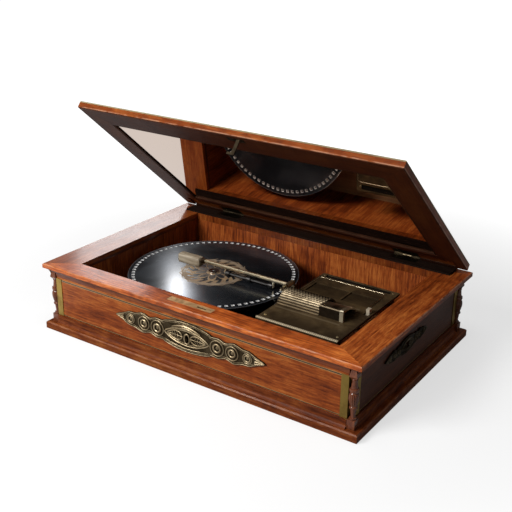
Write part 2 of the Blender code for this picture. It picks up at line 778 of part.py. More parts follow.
def make_rails():
    """The four rails of cornice and rim, mitred at the corners."""
    frame = (
        CORNICE_LENGTH / 2, -CORNICE_DEPTH / 2, CORNICE_DEPTH / 2,
        SIDE_RIM, FRONT_RIM, FRONT_RIM,
    )
    edge_bottom = CASE_HEIGHT - CORNICE_FACE
    drop = edge_bottom - RAIL_BOTTOM
    cove = [(COVE_WIDTH, RAIL_BOTTOM)] + [
        (COVE_WIDTH * math.cos(t), RAIL_BOTTOM + drop * math.sin(t))
        for t in (math.pi / 8, math.pi / 4, 3 * math.pi / 8)
    ]
    rails = {}
    for side in ("front", "rear", "left", "right"):
        is_long = side in ("front", "rear")
        width = FRONT_RIM if is_long else SIDE_RIM
        outside = CORNICE_DEPTH / 2 - CARCASE_DEPTH / 2 if is_long else CORNICE_LENGTH / 2 - SIDE_X
        profile = [
            (0.0, edge_bottom),
            (0.0, CASE_HEIGHT - CORNICE_ROUNDING),
            (CORNICE_ROUNDING, CASE_HEIGHT),
            (COVE_WIDTH, CASE_HEIGHT),
            (width, CASE_HEIGHT),
            (width, CASE_HEIGHT - RIM_THICKNESS),
            (outside + WALL, CASE_HEIGHT - RIM_THICKNESS),
            (outside + WALL, RAIL_BOTTOM),
        ] + cove
        rail = frame_length("rim_" + side, side, frame, profile, "mahogany", COVE_WIDTH)
        cut(rail, column_blocks(GAP, RAIL_BOTTOM - WALL, COLUMN_HEAD_TOP + GAP), "MANIFOLD")
        rails[side] = rail
    front = rails["front"]
    cut(front, lock_envelope(GAP, RAIL_BOTTOM - WALL, CASE_HEIGHT + WALL), "MANIFOLD")
    cut(front, lock_plate_box(GAP), "MANIFOLD")


def lock_plate_box(grow):
    """The lock's top plate, grown by a clearance on all sides."""
    half = LOCK_PLATE_LENGTH / 2 + grow
    across = LOCK_PLATE_WIDTH / 2 + grow
    bottom = CASE_HEIGHT - LOCK_PLATE_THICKNESS - grow
    return boxes((
        (LOCK_PLATE_X - half, LOCK_PLATE_Y - across, bottom),
        (LOCK_PLATE_X + half, LOCK_PLATE_Y + across, CASE_HEIGHT + grow),
    ))


CORNERS = {
    "front_left": (-1, -1),
    "front_right": (1, -1),
    "rear_left": (-1, 1),
    "rear_right": (1, 1),
}


def make_columns():
    """Four turned corner columns between square foot and head blocks."""
    foot_top = BASE_MOULDING_TOP
    head = COLUMN_HEAD_BOTTOM
    rise = head - foot_top
    neck = 0.31
    profile = [
        (0.0, 1.0), (neck, 1.0), (neck, 0.93), (0.4, 0.77), (0.55, 0.765), (0.55, 0.69),
        (0.46, 0.665), (0.6, 0.6), (0.62, 0.52), (0.44, 0.33), (0.48, 0.315), (0.48, 0.28),
        (0.36, 0.265), (0.28, 0.0), (0.0, 0.0),
    ]
    shaft = [(share * COLUMN_SIZE, foot_top + height * rise) for share, height in profile]
    half = COLUMN_SIZE / 2
    overlap = 0.2 * MM
    for corner, (sx, sy) in CORNERS.items():
        x, y = sx * COLUMN_X, sy * COLUMN_Y
        column = turned("column_" + corner, shaft, "mahogany", (x, y, 0.0), 12)
        join(column, boxes((
            (x - half, y - half, WALL_BOTTOM),
            (x + half, y + half, foot_top + overlap),
        )))
        join(column, boxes((
            (x - half, y - half, head + COLUMN_HEAD_CHAMFER),
            (x + half, y + half, COLUMN_HEAD_TOP),
        )))

        def taper(bm, x=x, y=y):
            low = head - overlap
            depth = COLUMN_HEAD_CHAMFER + 2 * overlap
            turn = Matrix.Rotation(math.pi / 4, 4, "Z")
            bmesh.ops.create_cone(
                bm,
                cap_ends=True,
                segments=4,
                radius1=neck * COLUMN_SIZE * math.sqrt(2),
                radius2=(half - overlap) * math.sqrt(2),
                depth=depth,
                matrix=Matrix.Translation((x, y, low + depth / 2)) @ turn,
            )

        join(column, taper)
        # The bulb is flatted where it stands in the notch
        near_x = sorted((x - sx * half, x - sx * COLUMN_SIZE))
        near_y = sorted((y - sy * half, y - sy * COLUMN_SIZE))
        cut(column, boxes(
            ((near_x[0], y - COLUMN_SIZE, foot_top), (near_x[1], y + COLUMN_SIZE, head))))
        cut(column, boxes(
            ((x - COLUMN_SIZE, near_y[0], foot_top), (x + COLUMN_SIZE, near_y[1], head))))


def make_corner_brasses():
    """The folded brass in each corner: a strip on the front, behind the column, and on the side."""
    out = GAP + STRIP_THICKNESS
    fold_x, fold_y = WALL_END_X + GAP, WALL_END_Y + GAP
    face_x, face_y = SIDE_X + GAP, CARCASE_DEPTH / 2 + GAP
    thick = STRIP_THICKNESS
    outline = [
        (WALL_END_X - STRIP_WIDTH, face_y),
        (fold_x, face_y),
        (fold_x, fold_y),
        (face_x, fold_y),
        (face_x, WALL_END_Y - STRIP_WIDTH),
        (SIDE_X + out, WALL_END_Y - STRIP_WIDTH),
        (SIDE_X + out, fold_y + thick),
        (fold_x + thick, fold_y + thick),
        (fold_x + thick, face_y + thick),
        (WALL_END_X - STRIP_WIDTH, face_y + thick),
    ]
    for corner, (sx, sy) in CORNERS.items():
        placed = [(sx * x, sy * y) for x, y in outline]
        make("corner_brass_" + corner, lambda bm, placed=placed: add_prism(
            bm, placed, BASE_MOULDING_TOP, STRIP_TOP - BASE_MOULDING_TOP, "Z"), "brass")


def lens_outline(length, height, rows, centre_share):
    """A long pointed plate: a raised eye in the middle and ring lobes that shrink to the tips."""
    band = height * 0.31
    eye = centre_share * length / 2
    right = []
    for k in range(OUTLINE_STEPS + 1):
        x = length / 2 * k / OUTLINE_STEPS
        taper = max(0.0, 1.0 - x / (length / 2))
        body = band * min(1.0, 2.6 * taper ** 0.8)
        lobe = 0.0
        if x > eye:
            turn = (x - eye) / (length / 2 - eye) * (rows + 0.4)
            lobe = 0.12 * band * math.sin(2 * math.pi * turn - math.pi / 2) * min(1.0, 3 * taper)
        crown = (height / 2 - band) * max(0.0, 1.0 - (x / (1.25 * eye)) ** 2)
        right.append((x, max(0.0, body + lobe + crown)))
    upper = right[:-1] + [(length / 2, 0.0)]
    lower = [(x, -y) for x, y in reversed(upper[:-1])]
    left_lower = [(-x, y) for x, y in reversed(lower[:-1])]
    left_upper = [(-x, y) for x, y in reversed(upper[:-1])]
    return upper + lower + left_lower + [(-length / 2, 0.0)] + left_upper[:-1]


def make_escutcheons():
    """The pierced plates on the front and on the right side."""
    outline = lens_outline(FRONT_PLATE_LENGTH, FRONT_PLATE_HEIGHT, FRETWORK_HOLES, 0.3)
    holes = []
    for sign in (-1, 1):
        for k in range(FRETWORK_HOLES):
            place = (0.397 + 0.19 * k) * FRONT_PLATE_LENGTH / 2
            radius = (0.12 - 0.016 * k) * FRONT_PLATE_HEIGHT
            holes.append(circle((sign * place, 0.0), radius, 12))
    y = FRONT_Y - GAP - ESCUTCHEON_THICKNESS / 2
    upright = (math.pi / 2, 0.0, 0.0)
    plate = fretted(
        "front_escutcheon", [outline] + holes, ESCUTCHEON_THICKNESS, "bronze",
        (0.0, y, FRONT_PLATE_Z), upright,
    )
    cut_world(plate, keyhole_cutter)

    outline = lens_outline(SIDE_PLATE_LENGTH, SIDE_PLATE_HEIGHT, FRETWORK_HOLES, 0.3)
    centre = circle((0.0, 0.0), WINDING_HOLE - 2 * GAP, FINE_SEGMENTS)
    x = SIDE_X + GAP + ESCUTCHEON_THICKNESS / 2
    fretted(
        "side_escutcheon", [outline, centre], ESCUTCHEON_THICKNESS, "bronze",
        (x, WINDING_Y, WINDING_Z), (math.pi / 2, 0.0, math.pi / 2),
    )


def cut_world(obj, build):
    """Cut an object that has its own rotation, after moving that rotation into its mesh."""
    bpy.context.view_layer.update()
    obj.data.transform(obj.matrix_world)
    obj.matrix_world = Matrix.Identity(4)
    bpy.context.view_layer.update()
    return cut(obj, build)


def catch_slot(bm):
    """The slot that the lid's catch drops through."""
    half = CATCH_SLOT_LENGTH / 2
    add_box(
        bm,
        (CATCH_X - half, CAVITY_FRONT_Y, LOCK_TOP - 2 * LOCK_WALL),
        (CATCH_X + half, CAVITY_FRONT_Y + CATCH_SLOT_WIDTH, CASE_HEIGHT + WALL),
    )


def make_lock():
    """Lock case, sliding bolt and the plate in the rim."""
    half = LOCK_LENGTH / 2
    case = make("lock_case", lock_envelope(0.0, LOCK_BOTTOM, LOCK_TOP), "iron")
    cut(case, catch_slot)
    cut(case, boxes((
        (-half + LOCK_WALL, CAVITY_FRONT_Y, LOCK_BOTTOM + LOCK_WALL),
        (half - LOCK_WALL, CAVITY_BACK_Y, LOCK_TOP - LOCK_WALL),
    )))
    cut(case, keyhole_cutter)

    plate = make("lock_plate", lock_plate_box(0.0), "brass")
    cut(plate, catch_slot)

    toe_top = LID_BOTTOM - CATCH_DROP + CATCH_TOE_HEIGHT
    rest_tip = CATCH_X - CATCH_SLOT_LENGTH / 2 - GAP
    bolt_bottom = toe_top + 1.0 * MM
    make("lock_bolt", boxes((
        (rest_tip - BOLT_LENGTH, CAVITY_FRONT_Y + GAP, bolt_bottom),
        (rest_tip, CAVITY_BACK_Y - GAP, bolt_bottom + BOLT_HEIGHT),
    )), "brass", origin=(rest_tip - BOLT_LENGTH / 2, LOCK_PLATE_Y, bolt_bottom + BOLT_HEIGHT / 2))


def leaf_box(x, low_y, high_y, bottom, grow=0.0):
    """One hinge leaf's box about the hinge's middle x."""
    half = HINGE_LENGTH / 2 + grow
    return ((x - half, low_y - grow, bottom - grow), (x + half, high_y, bottom + HINGE_LEAF + grow))


HINGES = {"left": -HINGE_SPREAD / 2, "right": HINGE_SPREAD / 2}


def make_fixed_hinges():
    """The dark batten behind the well, and the fixed leaves with their knuckles and pins."""
    batten = make("hinge_batten", boxes((
        (-BATTEN_LENGTH / 2, WELL_Y + GAP, LID_BOTTOM),
        (BATTEN_LENGTH / 2, BATTEN_BACK, BATTEN_TOP),
    )), "dark_wood")
    leaf_front = HINGE.y - HINGE_LEAF_DEPTH
    leaf_bottom = BATTEN_TOP - HINGE_LEAF
    step = MIDDLE_KNUCKLE / 2 + GAP
    clear = KNUCKLE_RADIUS + GAP
    half = HINGE_LENGTH / 2
    for side, x in HINGES.items():
        low, high = leaf_box(x, leaf_front, BATTEN_BACK + GAP, leaf_bottom, GAP)
        cut(batten, boxes((low, (high[0], high[1], BATTEN_TOP + GAP))))
        leaf = make("hinge_fixed_leaf_" + side, boxes(
            leaf_box(x, leaf_front, HINGE.y - clear, leaf_bottom)), "brass")
        for start, end in ((-half, -step), (step, half)):
            join(leaf, boxes((
                (x + start, HINGE.y - clear - GAP, leaf_bottom),
                (x + end, HINGE.y - KNUCKLE_RADIUS / 2, BATTEN_TOP),
            )))
            join(leaf, lambda bm, x=x, start=start, end=end: add_rod(
                bm, (x + start, HINGE.y, HINGE.z), end - start, KNUCKLE_RADIUS, "X", 12))
        join(leaf, lambda bm, x=x: add_rod(
            bm, (x - half + GAP, HINGE.y, HINGE.z), HINGE_LENGTH - 2 * GAP, HINGE_PIN_RADIUS, "X", 8))


def lid_piece(name, build, finish, parent):
    """A piece of the lid, drawn with the lid closed and carried by the lid's empty."""
    obj = make(name, build, finish, origin=HINGE)
    obj.location = (0.0, 0.0, 0.0)
    obj.parent = parent
    return obj


def lid_local(build):
    """A cutter drawn with the lid closed, moved to the open lid."""

    def moved(bm):
        build(bm)
        turn = Matrix.Translation(HINGE) @ Matrix.Rotation(-LID_OPEN_ANGLE, 4, "X")
        bmesh.ops.transform(bm, matrix=turn @ Matrix.Translation(-HINGE), verts=bm.verts)

    return moved


def make_lid():
    """The lid: mitred frame, panel, mirror, edge strips, catch and hinge leaves."""
    lid = bpy.data.objects.new("lid_axis", None)
    lid.location = HINGE
    lid.rotation_euler = (-LID_OPEN_ANGLE, 0.0, 0.0)
    PARTS.objects.link(lid)

    top = LID_BOTTOM + LID_THICKNESS
    strip_seat = top - LID_STRIP_HEIGHT - GAP
    leaf_front = HINGE.y - HINGE_LEAF_DEPTH
    rebate_top = BATTEN_TOP + GAP
    sides = (LID_SIDE_WIDTH, LID_FRONT_WIDTH, LID_REAR_WIDTH)

    def ring(share, inset, z):
        """A profile point: a share of each rail's width plus an inset."""
        side, front, rear = (share * width + inset for width in sides)
        return (LID_LENGTH / 2 - side, LID_FRONT + front, LID_BACK - rear, z)

    frame = lid_piece("lid_frame", lambda bm: add_frame(bm, [
        ring(0.0, 0.0, LID_BOTTOM + LID_ROUNDING),
        ring(0.0, 0.0, strip_seat),
        ring(0.0, LID_STRIP_WIDTH + GAP, strip_seat),
        ring(0.0, LID_STRIP_WIDTH + GAP, top),
        ring(1.0, -LID_REBATE, top),
        ring(1.0, -LID_REBATE, LID_BOTTOM + LID_LIP),
        ring(1.0, 0.0, LID_BOTTOM + LID_LIP),
        ring(1.0, 0.0, LID_BOTTOM),
        ring(0.0, LID_ROUNDING, LID_BOTTOM),
    ]), "mahogany", lid)
    cut(frame, lid_local(boxes((
        (-BATTEN_LENGTH / 2 - GAP, WELL_Y - GAP, LID_BOTTOM - WALL),
        (BATTEN_LENGTH / 2 + GAP, LID_BACK + WALL, rebate_top),
    ))))
    for x in HINGES.values():
        cut(frame, lid_local(boxes(leaf_box(x, leaf_front, LID_BACK + WALL, rebate_top, GAP))))
    cut(frame, lid_local(boxes(catch_base(GAP))))
    lid_piece("lid_edge_bead", lambda bm: add_frame(bm, [
        ring(0.0, 0.0, strip_seat + GAP),
        ring(0.0, 0.0, top - LID_ROUNDING),
        ring(0.0, LID_ROUNDING, top),
        ring(0.0, LID_STRIP_WIDTH, top),
        ring(0.0, LID_STRIP_WIDTH, strip_seat + GAP),
    ]), "holly", lid)

    reach_x = LID_LENGTH / 2 - LID_SIDE_WIDTH + LID_REBATE - GAP
    front = LID_FRONT + LID_FRONT_WIDTH - LID_REBATE + GAP
    rear = LID_BACK - LID_REAR_WIDTH + LID_REBATE - GAP
    mirror_bottom = LID_BOTTOM + LID_LIP + GAP
    mirror_top = mirror_bottom + MIRROR_THICKNESS
    lid_piece("lid_mirror", boxes((
        (-reach_x, front, mirror_bottom),
        (reach_x, rear, mirror_top),
    )), "mirror", lid)
    lid_piece("lid_panel", boxes((
        (-reach_x, front, mirror_top + GAP),
        (reach_x, rear, top),
    )), "mahogany", lid)

    hook = lid_piece("lid_catch", boxes(catch_base(0.0)), "brass", lid)
    half = CATCH_THICKNESS / 2
    right = CATCH_X + CATCH_TOE / 2
    bottom = LID_BOTTOM - CATCH_DROP
    join(hook, lid_local(boxes((
        (right - CATCH_SHANK, LOCK_PLATE_Y - half, bottom + CATCH_TOE_HEIGHT / 2),
        (right, LOCK_PLATE_Y + half, LID_BOTTOM + CATCH_BASE_THICKNESS / 2),
    ))))
    join(hook, lid_local(boxes((
        (right - CATCH_TOE, LOCK_PLATE_Y - half, bottom),
        (right, LOCK_PLATE_Y + half, bottom + CATCH_TOE_HEIGHT),
    ))))

    middle = MIDDLE_KNUCKLE / 2
    for side, x in HINGES.items():
        leaf = lid_piece("hinge_moving_leaf_" + side, boxes(
            leaf_box(x, leaf_front, HINGE.y - KNUCKLE_RADIUS - GAP, rebate_top)), "brass", lid)
        join(leaf, lid_local(boxes((
            (x - middle, HINGE.y - KNUCKLE_RADIUS - 2 * GAP, rebate_top),
            (x + middle, HINGE.y - KNUCKLE_RADIUS / 2, rebate_top + HINGE_LEAF),
        ))))
        join(leaf, lid_local(lambda bm, x=x: add_rod(
            bm, (x - middle, HINGE.y, HINGE.z), 2 * middle, KNUCKLE_RADIUS, "X", 12)))
        cut(leaf, lid_local(lambda bm, x=x: add_rod(
            bm, (x - HINGE_LENGTH / 2, HINGE.y, HINGE.z), HINGE_LENGTH, HINGE_PIN_RADIUS + GAP,
            "X", 8)))


def catch_base(grow):
    """The catch's base plate, let into the lid's underside."""
    half = CATCH_BASE_LENGTH / 2 + grow
    across = CATCH_BASE_WIDTH / 2 + grow
    return (
        (CATCH_X - half, LOCK_PLATE_Y - across, LID_BOTTOM + (-WALL if grow else 0.0)),
        (CATCH_X + half, LOCK_PLATE_Y + across, LID_BOTTOM + CATCH_BASE_THICKNESS + grow),
    )


def make_bed():
    """The iron bedplate on its feet, and the spindle that the disc turns on."""
    half = BED_WIDTH / 2

    def plate(bm):
        add_box(bm, (BED_LEFT, -half, BED_BOTTOM), (BED_RIGHT, half, BED_TOP))

    def feet(bm):
        middle = (BED_LEFT + BED_RIGHT) / 2
        for x in (BED_LEFT + BED_FOOT_INSET, middle, BED_RIGHT - BED_FOOT_INSET):
            for y in (-half + BED_FOOT_INSET, half - BED_FOOT_INSET):
                length = BED_BOTTOM - WALL_BOTTOM + BED_THICKNESS / 2
                add_rod(bm, (x, y, WALL_BOTTOM), length, BED_FOOT_RADIUS, "Z", 12)

    join(make("bedplate", plate, "iron"), feet)
    seat = DISC_BOTTOM - GAP
    turned("spindle", [
        (0.0, SPINDLE_TOP),
        (SPINDLE_RADIUS - 1.0 * MM, SPINDLE_TOP),
        (SPINDLE_RADIUS, SPINDLE_TOP - 1.0 * MM),
        (SPINDLE_RADIUS, seat),
        (SPINDLE_FLANGE, seat),
        (SPINDLE_FLANGE, seat - 3.0 * MM),
        (SPINDLE_POST, seat - 5.0 * MM),
        (SPINDLE_POST, BED_SEAT + 3.0 * MM),
        (SPINDLE_FLANGE, BED_SEAT + 3.0 * MM),
        (SPINDLE_FLANGE, BED_SEAT),
        (0.0, BED_SEAT),
    ], "steel", (DISC_X, 0.0, 0.0))


def make_disc():
    """The tune disc with its drive slots, and the hub ring on it."""
    edge = circle((0.0, 0.0), DISC_RADIUS, DISC_SLOTS)
    slots = []
    half = SLOT_SIZE / 2
    for k in range(DISC_SLOTS):
        angle = 2 * math.pi * k / DISC_SLOTS
        corner = []
        for across, out in ((-half, -half), (half, -half), (half, half), (-half, half)):
            radius = SLOT_CIRCLE + out
            corner.append((
                radius * math.cos(angle) - across * math.sin(angle),
                radius * math.sin(angle) + across * math.cos(angle),
            ))
        slots.append(corner)
    bore = SPINDLE_RADIUS + GAP
    fretted(
        "disc", [edge] + slots + [circle((0.0, 0.0), bore, ROUND_SEGMENTS)], DISC_THICKNESS,
        "blued_steel", (DISC_X, 0.0, DISC_TOP - DISC_THICKNESS / 2),
    )
    bottom = DISC_TOP + GAP

    def ring(bm):
        add_rod(bm, (DISC_X, 0.0, bottom), HUB_THICKNESS, HUB_RADIUS, "Z", FINE_SEGMENTS)

    def hole(bm):
        add_rod(bm, (DISC_X, 0.0, DISC_BOTTOM), SPINDLE_TOP - DISC_BOTTOM, bore, "Z", ROUND_SEGMENTS)

    cut(make("disc_hub", ring, "steel", origin=(DISC_X, 0.0, bottom)), hole)


def star_outline():
    """A star wheel's outline."""
    points = []
    for k in range(STAR_POINTS):
        for part, radius in ((0.0, STAR_RADIUS), (0.5, STAR_ROOT)):
            angle = math.pi / 2 + 2 * math.pi * (k + part) / STAR_POINTS + math.pi / STAR_POINTS
            points.append((radius * math.cos(angle), STAR_Z + radius * math.sin(angle)))
    return points


def make_comb():
    """Star wheels on their bridge, the comb they pluck, its base and screws."""
    pitch = (STAR_RIGHT - STAR_LEFT) / (STAR_COUNT - 1)
    outline = star_outline()

    def wheels(bm):
        for k in range(STAR_COUNT):
            start = STAR_LEFT + k * pitch - STAR_THICKNESS / 2
            add_prism(bm, outline, start, STAR_THICKNESS, "X")

    def sleeve(bm):
        start = (STAR_LEFT - STAR_THICKNESS / 2, 0.0, STAR_Z)
        length = STAR_RIGHT - STAR_LEFT + STAR_THICKNESS
        add_rod(bm, start, length, STAR_SLEEVE, "X", 8)

    def bore(bm):
        length = STAR_RIGHT - STAR_LEFT + 8 * STAR_THICKNESS
        start = (STAR_LEFT - 4 * STAR_THICKNESS, 0.0, STAR_Z)
        add_rod(bm, start, length, STAR_BORE, "X", 8)

    middle = ((STAR_LEFT + STAR_RIGHT) / 2, 0.0, STAR_Z)
    cut(join(make("star_wheels", wheels, "brass", origin=middle), sleeve), bore)

    left = STAR_LEFT - STAR_END_ROOM - STAR_POST
    right = STAR_RIGHT + STAR_END_ROOM - STAR_POST / 4

    def posts(bm):
        for x in (left, right):
            add_box(
                bm,
                (x, -STAR_POST, BED_SEAT),
                (x + STAR_POST, STAR_POST, STAR_Z + STAR_POST),
            )

    def shaft(bm):
        start = (left + STAR_POST / 2, 0.0, STAR_Z)
        add_rod(bm, start, right - left, STAR_SHAFT_RADIUS, "X", 8)

    def sole(bm):
        add_box(
            bm,
            (left, -STAR_POST, BED_SEAT),
            (right + STAR_POST, STAR_POST, BED_SEAT + STAR_POST),
        )

    join(join(make("star_wheel_bridge", sole, "steel"), posts), shaft)

    comb_x = (STAR_LEFT + STAR_RIGHT - COMB_LENGTH) / 2 + COMB_SHIFT
    front = STAR_RADIUS + GAP
    back = front + COMB_TOOTH_LENGTH + COMB_BACK
    tooth = COMB_LENGTH / COMB_TEETH
    slot = 0.35 * tooth
    edge = [(comb_x, back), (comb_x, front)]
    for k in range(1, COMB_TEETH):
        x = comb_x + k * tooth
        deep = front + COMB_TOOTH_LENGTH
        low_x, high_x = x - slot / 2, x + slot / 2
        edge += [(low_x, front), (low_x, deep), (high_x, deep), (high_x, front)]
    edge += [(comb_x + COMB_LENGTH, front), (comb_x + COMB_LENGTH, back)]
    low = STAR_Z - COMB_THICKNESS / 2
    make("comb", lambda bm: add_prism(bm, edge, low, COMB_THICKNESS, "Z"), "steel")
    make("comb_base", boxes((
        (comb_x, back - COMB_BACK + COMB_THICKNESS, BED_SEAT),
        (comb_x + COMB_LENGTH, back, low - GAP),
    )), "iron")


def post_places():
    """The x and y of the motor plate's four cast legs."""
    places = []
    for x in (PLATE_LEFT + POST_INSET, PLATE_RIGHT - POST_INSET):
        for sign in (-1, 1):
            places.append((x, sign * (PLATE_WIDTH / 2 - 2 * POST_INSET)))
    return places


def make_pressure_bar():
    """The bracket, the pin, and the bar with its handle and rollers, that hold the disc down."""
    reach = BAR_EYE_WIDTH / 2 + GAP
    left = BAR_AXIS_X - EAR_WIDTH / 2
    right = BAR_AXIS_X + EAR_WIDTH / 2

    def bridge(bm):
        add_box(
            bm,
            (left, -reach - EAR_THICKNESS / 2, BED_SEAT),
            (right, reach + EAR_THICKNESS / 2, SPROCKET_Z + BRIDGE_ABOVE_SHAFT),
        )

    def bores(bm):
        start = (left - WALL, 0.0, SPROCKET_Z)
        add_rod(bm, start, EAR_WIDTH + 2 * WALL, SHAFT_RADIUS + SHAFT_CLEARANCE, "X", ROUND_SEGMENTS)
        start = (BAR_AXIS_X, 2 * BAR_PIN_FRONT, BAR_AXIS_Z)
        add_rod(bm, start, 4 * -BAR_PIN_FRONT, BAR_PIN_RADIUS + GAP, "Y", ROUND_SEGMENTS)

    bracket = make("bar_bracket", bridge, "bronze")
    for ear_y in (reach, -reach - EAR_THICKNESS):
        join(bracket, boxes((
            (left, ear_y, BED_SEAT),
            (right, ear_y + EAR_THICKNESS, BAR_AXIS_Z),
        )))
        join(bracket, lambda bm, ear_y=ear_y: add_rod(
            bm, (BAR_AXIS_X, ear_y, BAR_AXIS_Z), EAR_THICKNESS, EAR_WIDTH / 2, "Y", 12))
    cut(bracket, bores)

    def pin(bm):
        start = (BAR_AXIS_X, BAR_PIN_FRONT, BAR_AXIS_Z)
        add_rod(bm, start, BAR_PIN_BACK - BAR_PIN_FRONT, BAR_PIN_RADIUS, "Y", ROUND_SEGMENTS)

    make("bar_pin", pin, "brass")

    pivot = (BAR_AXIS_X, 0.0, BAR_AXIS_Z)
    roller_z = DISC_TOP + GAP + ROLLER_RADIUS
    bar = make("pressure_bar", lambda bm: add_rod(
        bm, (BAR_ROD_END_X, 0.0, BAR_AXIS_Z), BAR_AXIS_X - BAR_ROD_END_X, BAR_RADIUS, "X", 12,
    ), "brass", origin=pivot)
    join(bar, lambda bm: add_rod(
        bm, (BAR_AXIS_X, -BAR_EYE_WIDTH / 2, BAR_AXIS_Z), BAR_EYE_WIDTH, BAR_EYE_RADIUS, "Y", 12))
    join(bar, lambda bm: add_rod(
        bm, (BAR_ROD_END_X, 0.0, BAR_AXIS_Z), BAR_COLLAR_WIDTH, BAR_COLLAR_RADIUS, "X", 12))
    last_x = ROLLER_FIRST_X + (ROLLER_PLACES - 1) * ROLLER_SPACING
    lug_left = ROLLER_FIRST_X - ROLLER_WIDTH / 2 - GAP - ROLLER_LUG
    lug_right = last_x + ROLLER_WIDTH / 2 + GAP

    def lugs(bm):
        for start in (lug_left, lug_right):
            add_box(
                bm,
                (start, -2 * ROLLER_SHAFT, roller_z - 2 * ROLLER_SHAFT),
                (start + ROLLER_LUG, 2 * ROLLER_SHAFT, BAR_AXIS_Z),
            )

    def shaft(bm):
        start = (lug_left + ROLLER_LUG / 2, 0.0, roller_z)
        add_rod(bm, start, lug_right - lug_left, ROLLER_SHAFT, "X", 8)

    join(bar, lugs)
    join(bar, shaft)
    cut(bar, bores)

    def rollers(bm):
        for k in range(ROLLER_PLACES):
            x = ROLLER_FIRST_X + k * ROLLER_SPACING - ROLLER_WIDTH / 2
            add_rod(bm, (x, 0.0, roller_z), ROLLER_WIDTH, ROLLER_RADIUS, "X", ROUND_SEGMENTS)

    def roller_tube(bm):
        start = (ROLLER_FIRST_X - ROLLER_WIDTH / 2, 0.0, roller_z)
        add_rod(bm, start, last_x - ROLLER_FIRST_X + ROLLER_WIDTH, ROLLER_TUBE, "X", 8)

    def roller_bore(bm):
        start = (ROLLER_FIRST_X - 2 * ROLLER_WIDTH, 0.0, roller_z)
        add_rod(bm, start, last_x - ROLLER_FIRST_X + 4 * ROLLER_WIDTH, ROLLER_BORE, "X", 8)

    axis = ((ROLLER_FIRST_X + last_x) / 2, 0.0, roller_z)
    cut(join(make("bar_rollers", rollers, "steel", origin=axis), roller_tube), roller_bore)

    half = HANDLE_WIDTH / 2
    handle = make("bar_handle", boxes((
        (HANDLE_LEFT_X, -half, HANDLE_BOTTOM),
        (HANDLE_RIGHT_X, half, HANDLE_TOP),
    )), "holly", origin=((HANDLE_LEFT_X + HANDLE_RIGHT_X) / 2, 0.0, BAR_AXIS_Z))
    bevel = handle.modifiers.new("rounding", "BEVEL")
    bevel.width = HANDLE_ROUNDING
    bevel.segments = 2
    bevel.limit_method = "ANGLE"
    bake(handle)


def lean_to(proud):
    """The housing's outline, grown by proud: an upright front, and a roof that falls to the back."""
    front, reach = HOUSING_FRONT - proud, HOUSING_DEPTH + 2 * proud
    height = HOUSING_HEIGHT + proud
    points = [(front, PLATE_SEAT), (front, PLATE_SEAT + height - HOUSING_EDGE)]
    points.append((front + HOUSING_EDGE, PLATE_SEAT + height))
    for k in range(2, 13):
        turn = k / 12 * math.pi / 2
        points.append((front + reach * math.sin(turn), PLATE_SEAT + height * math.cos(turn)))
    return points


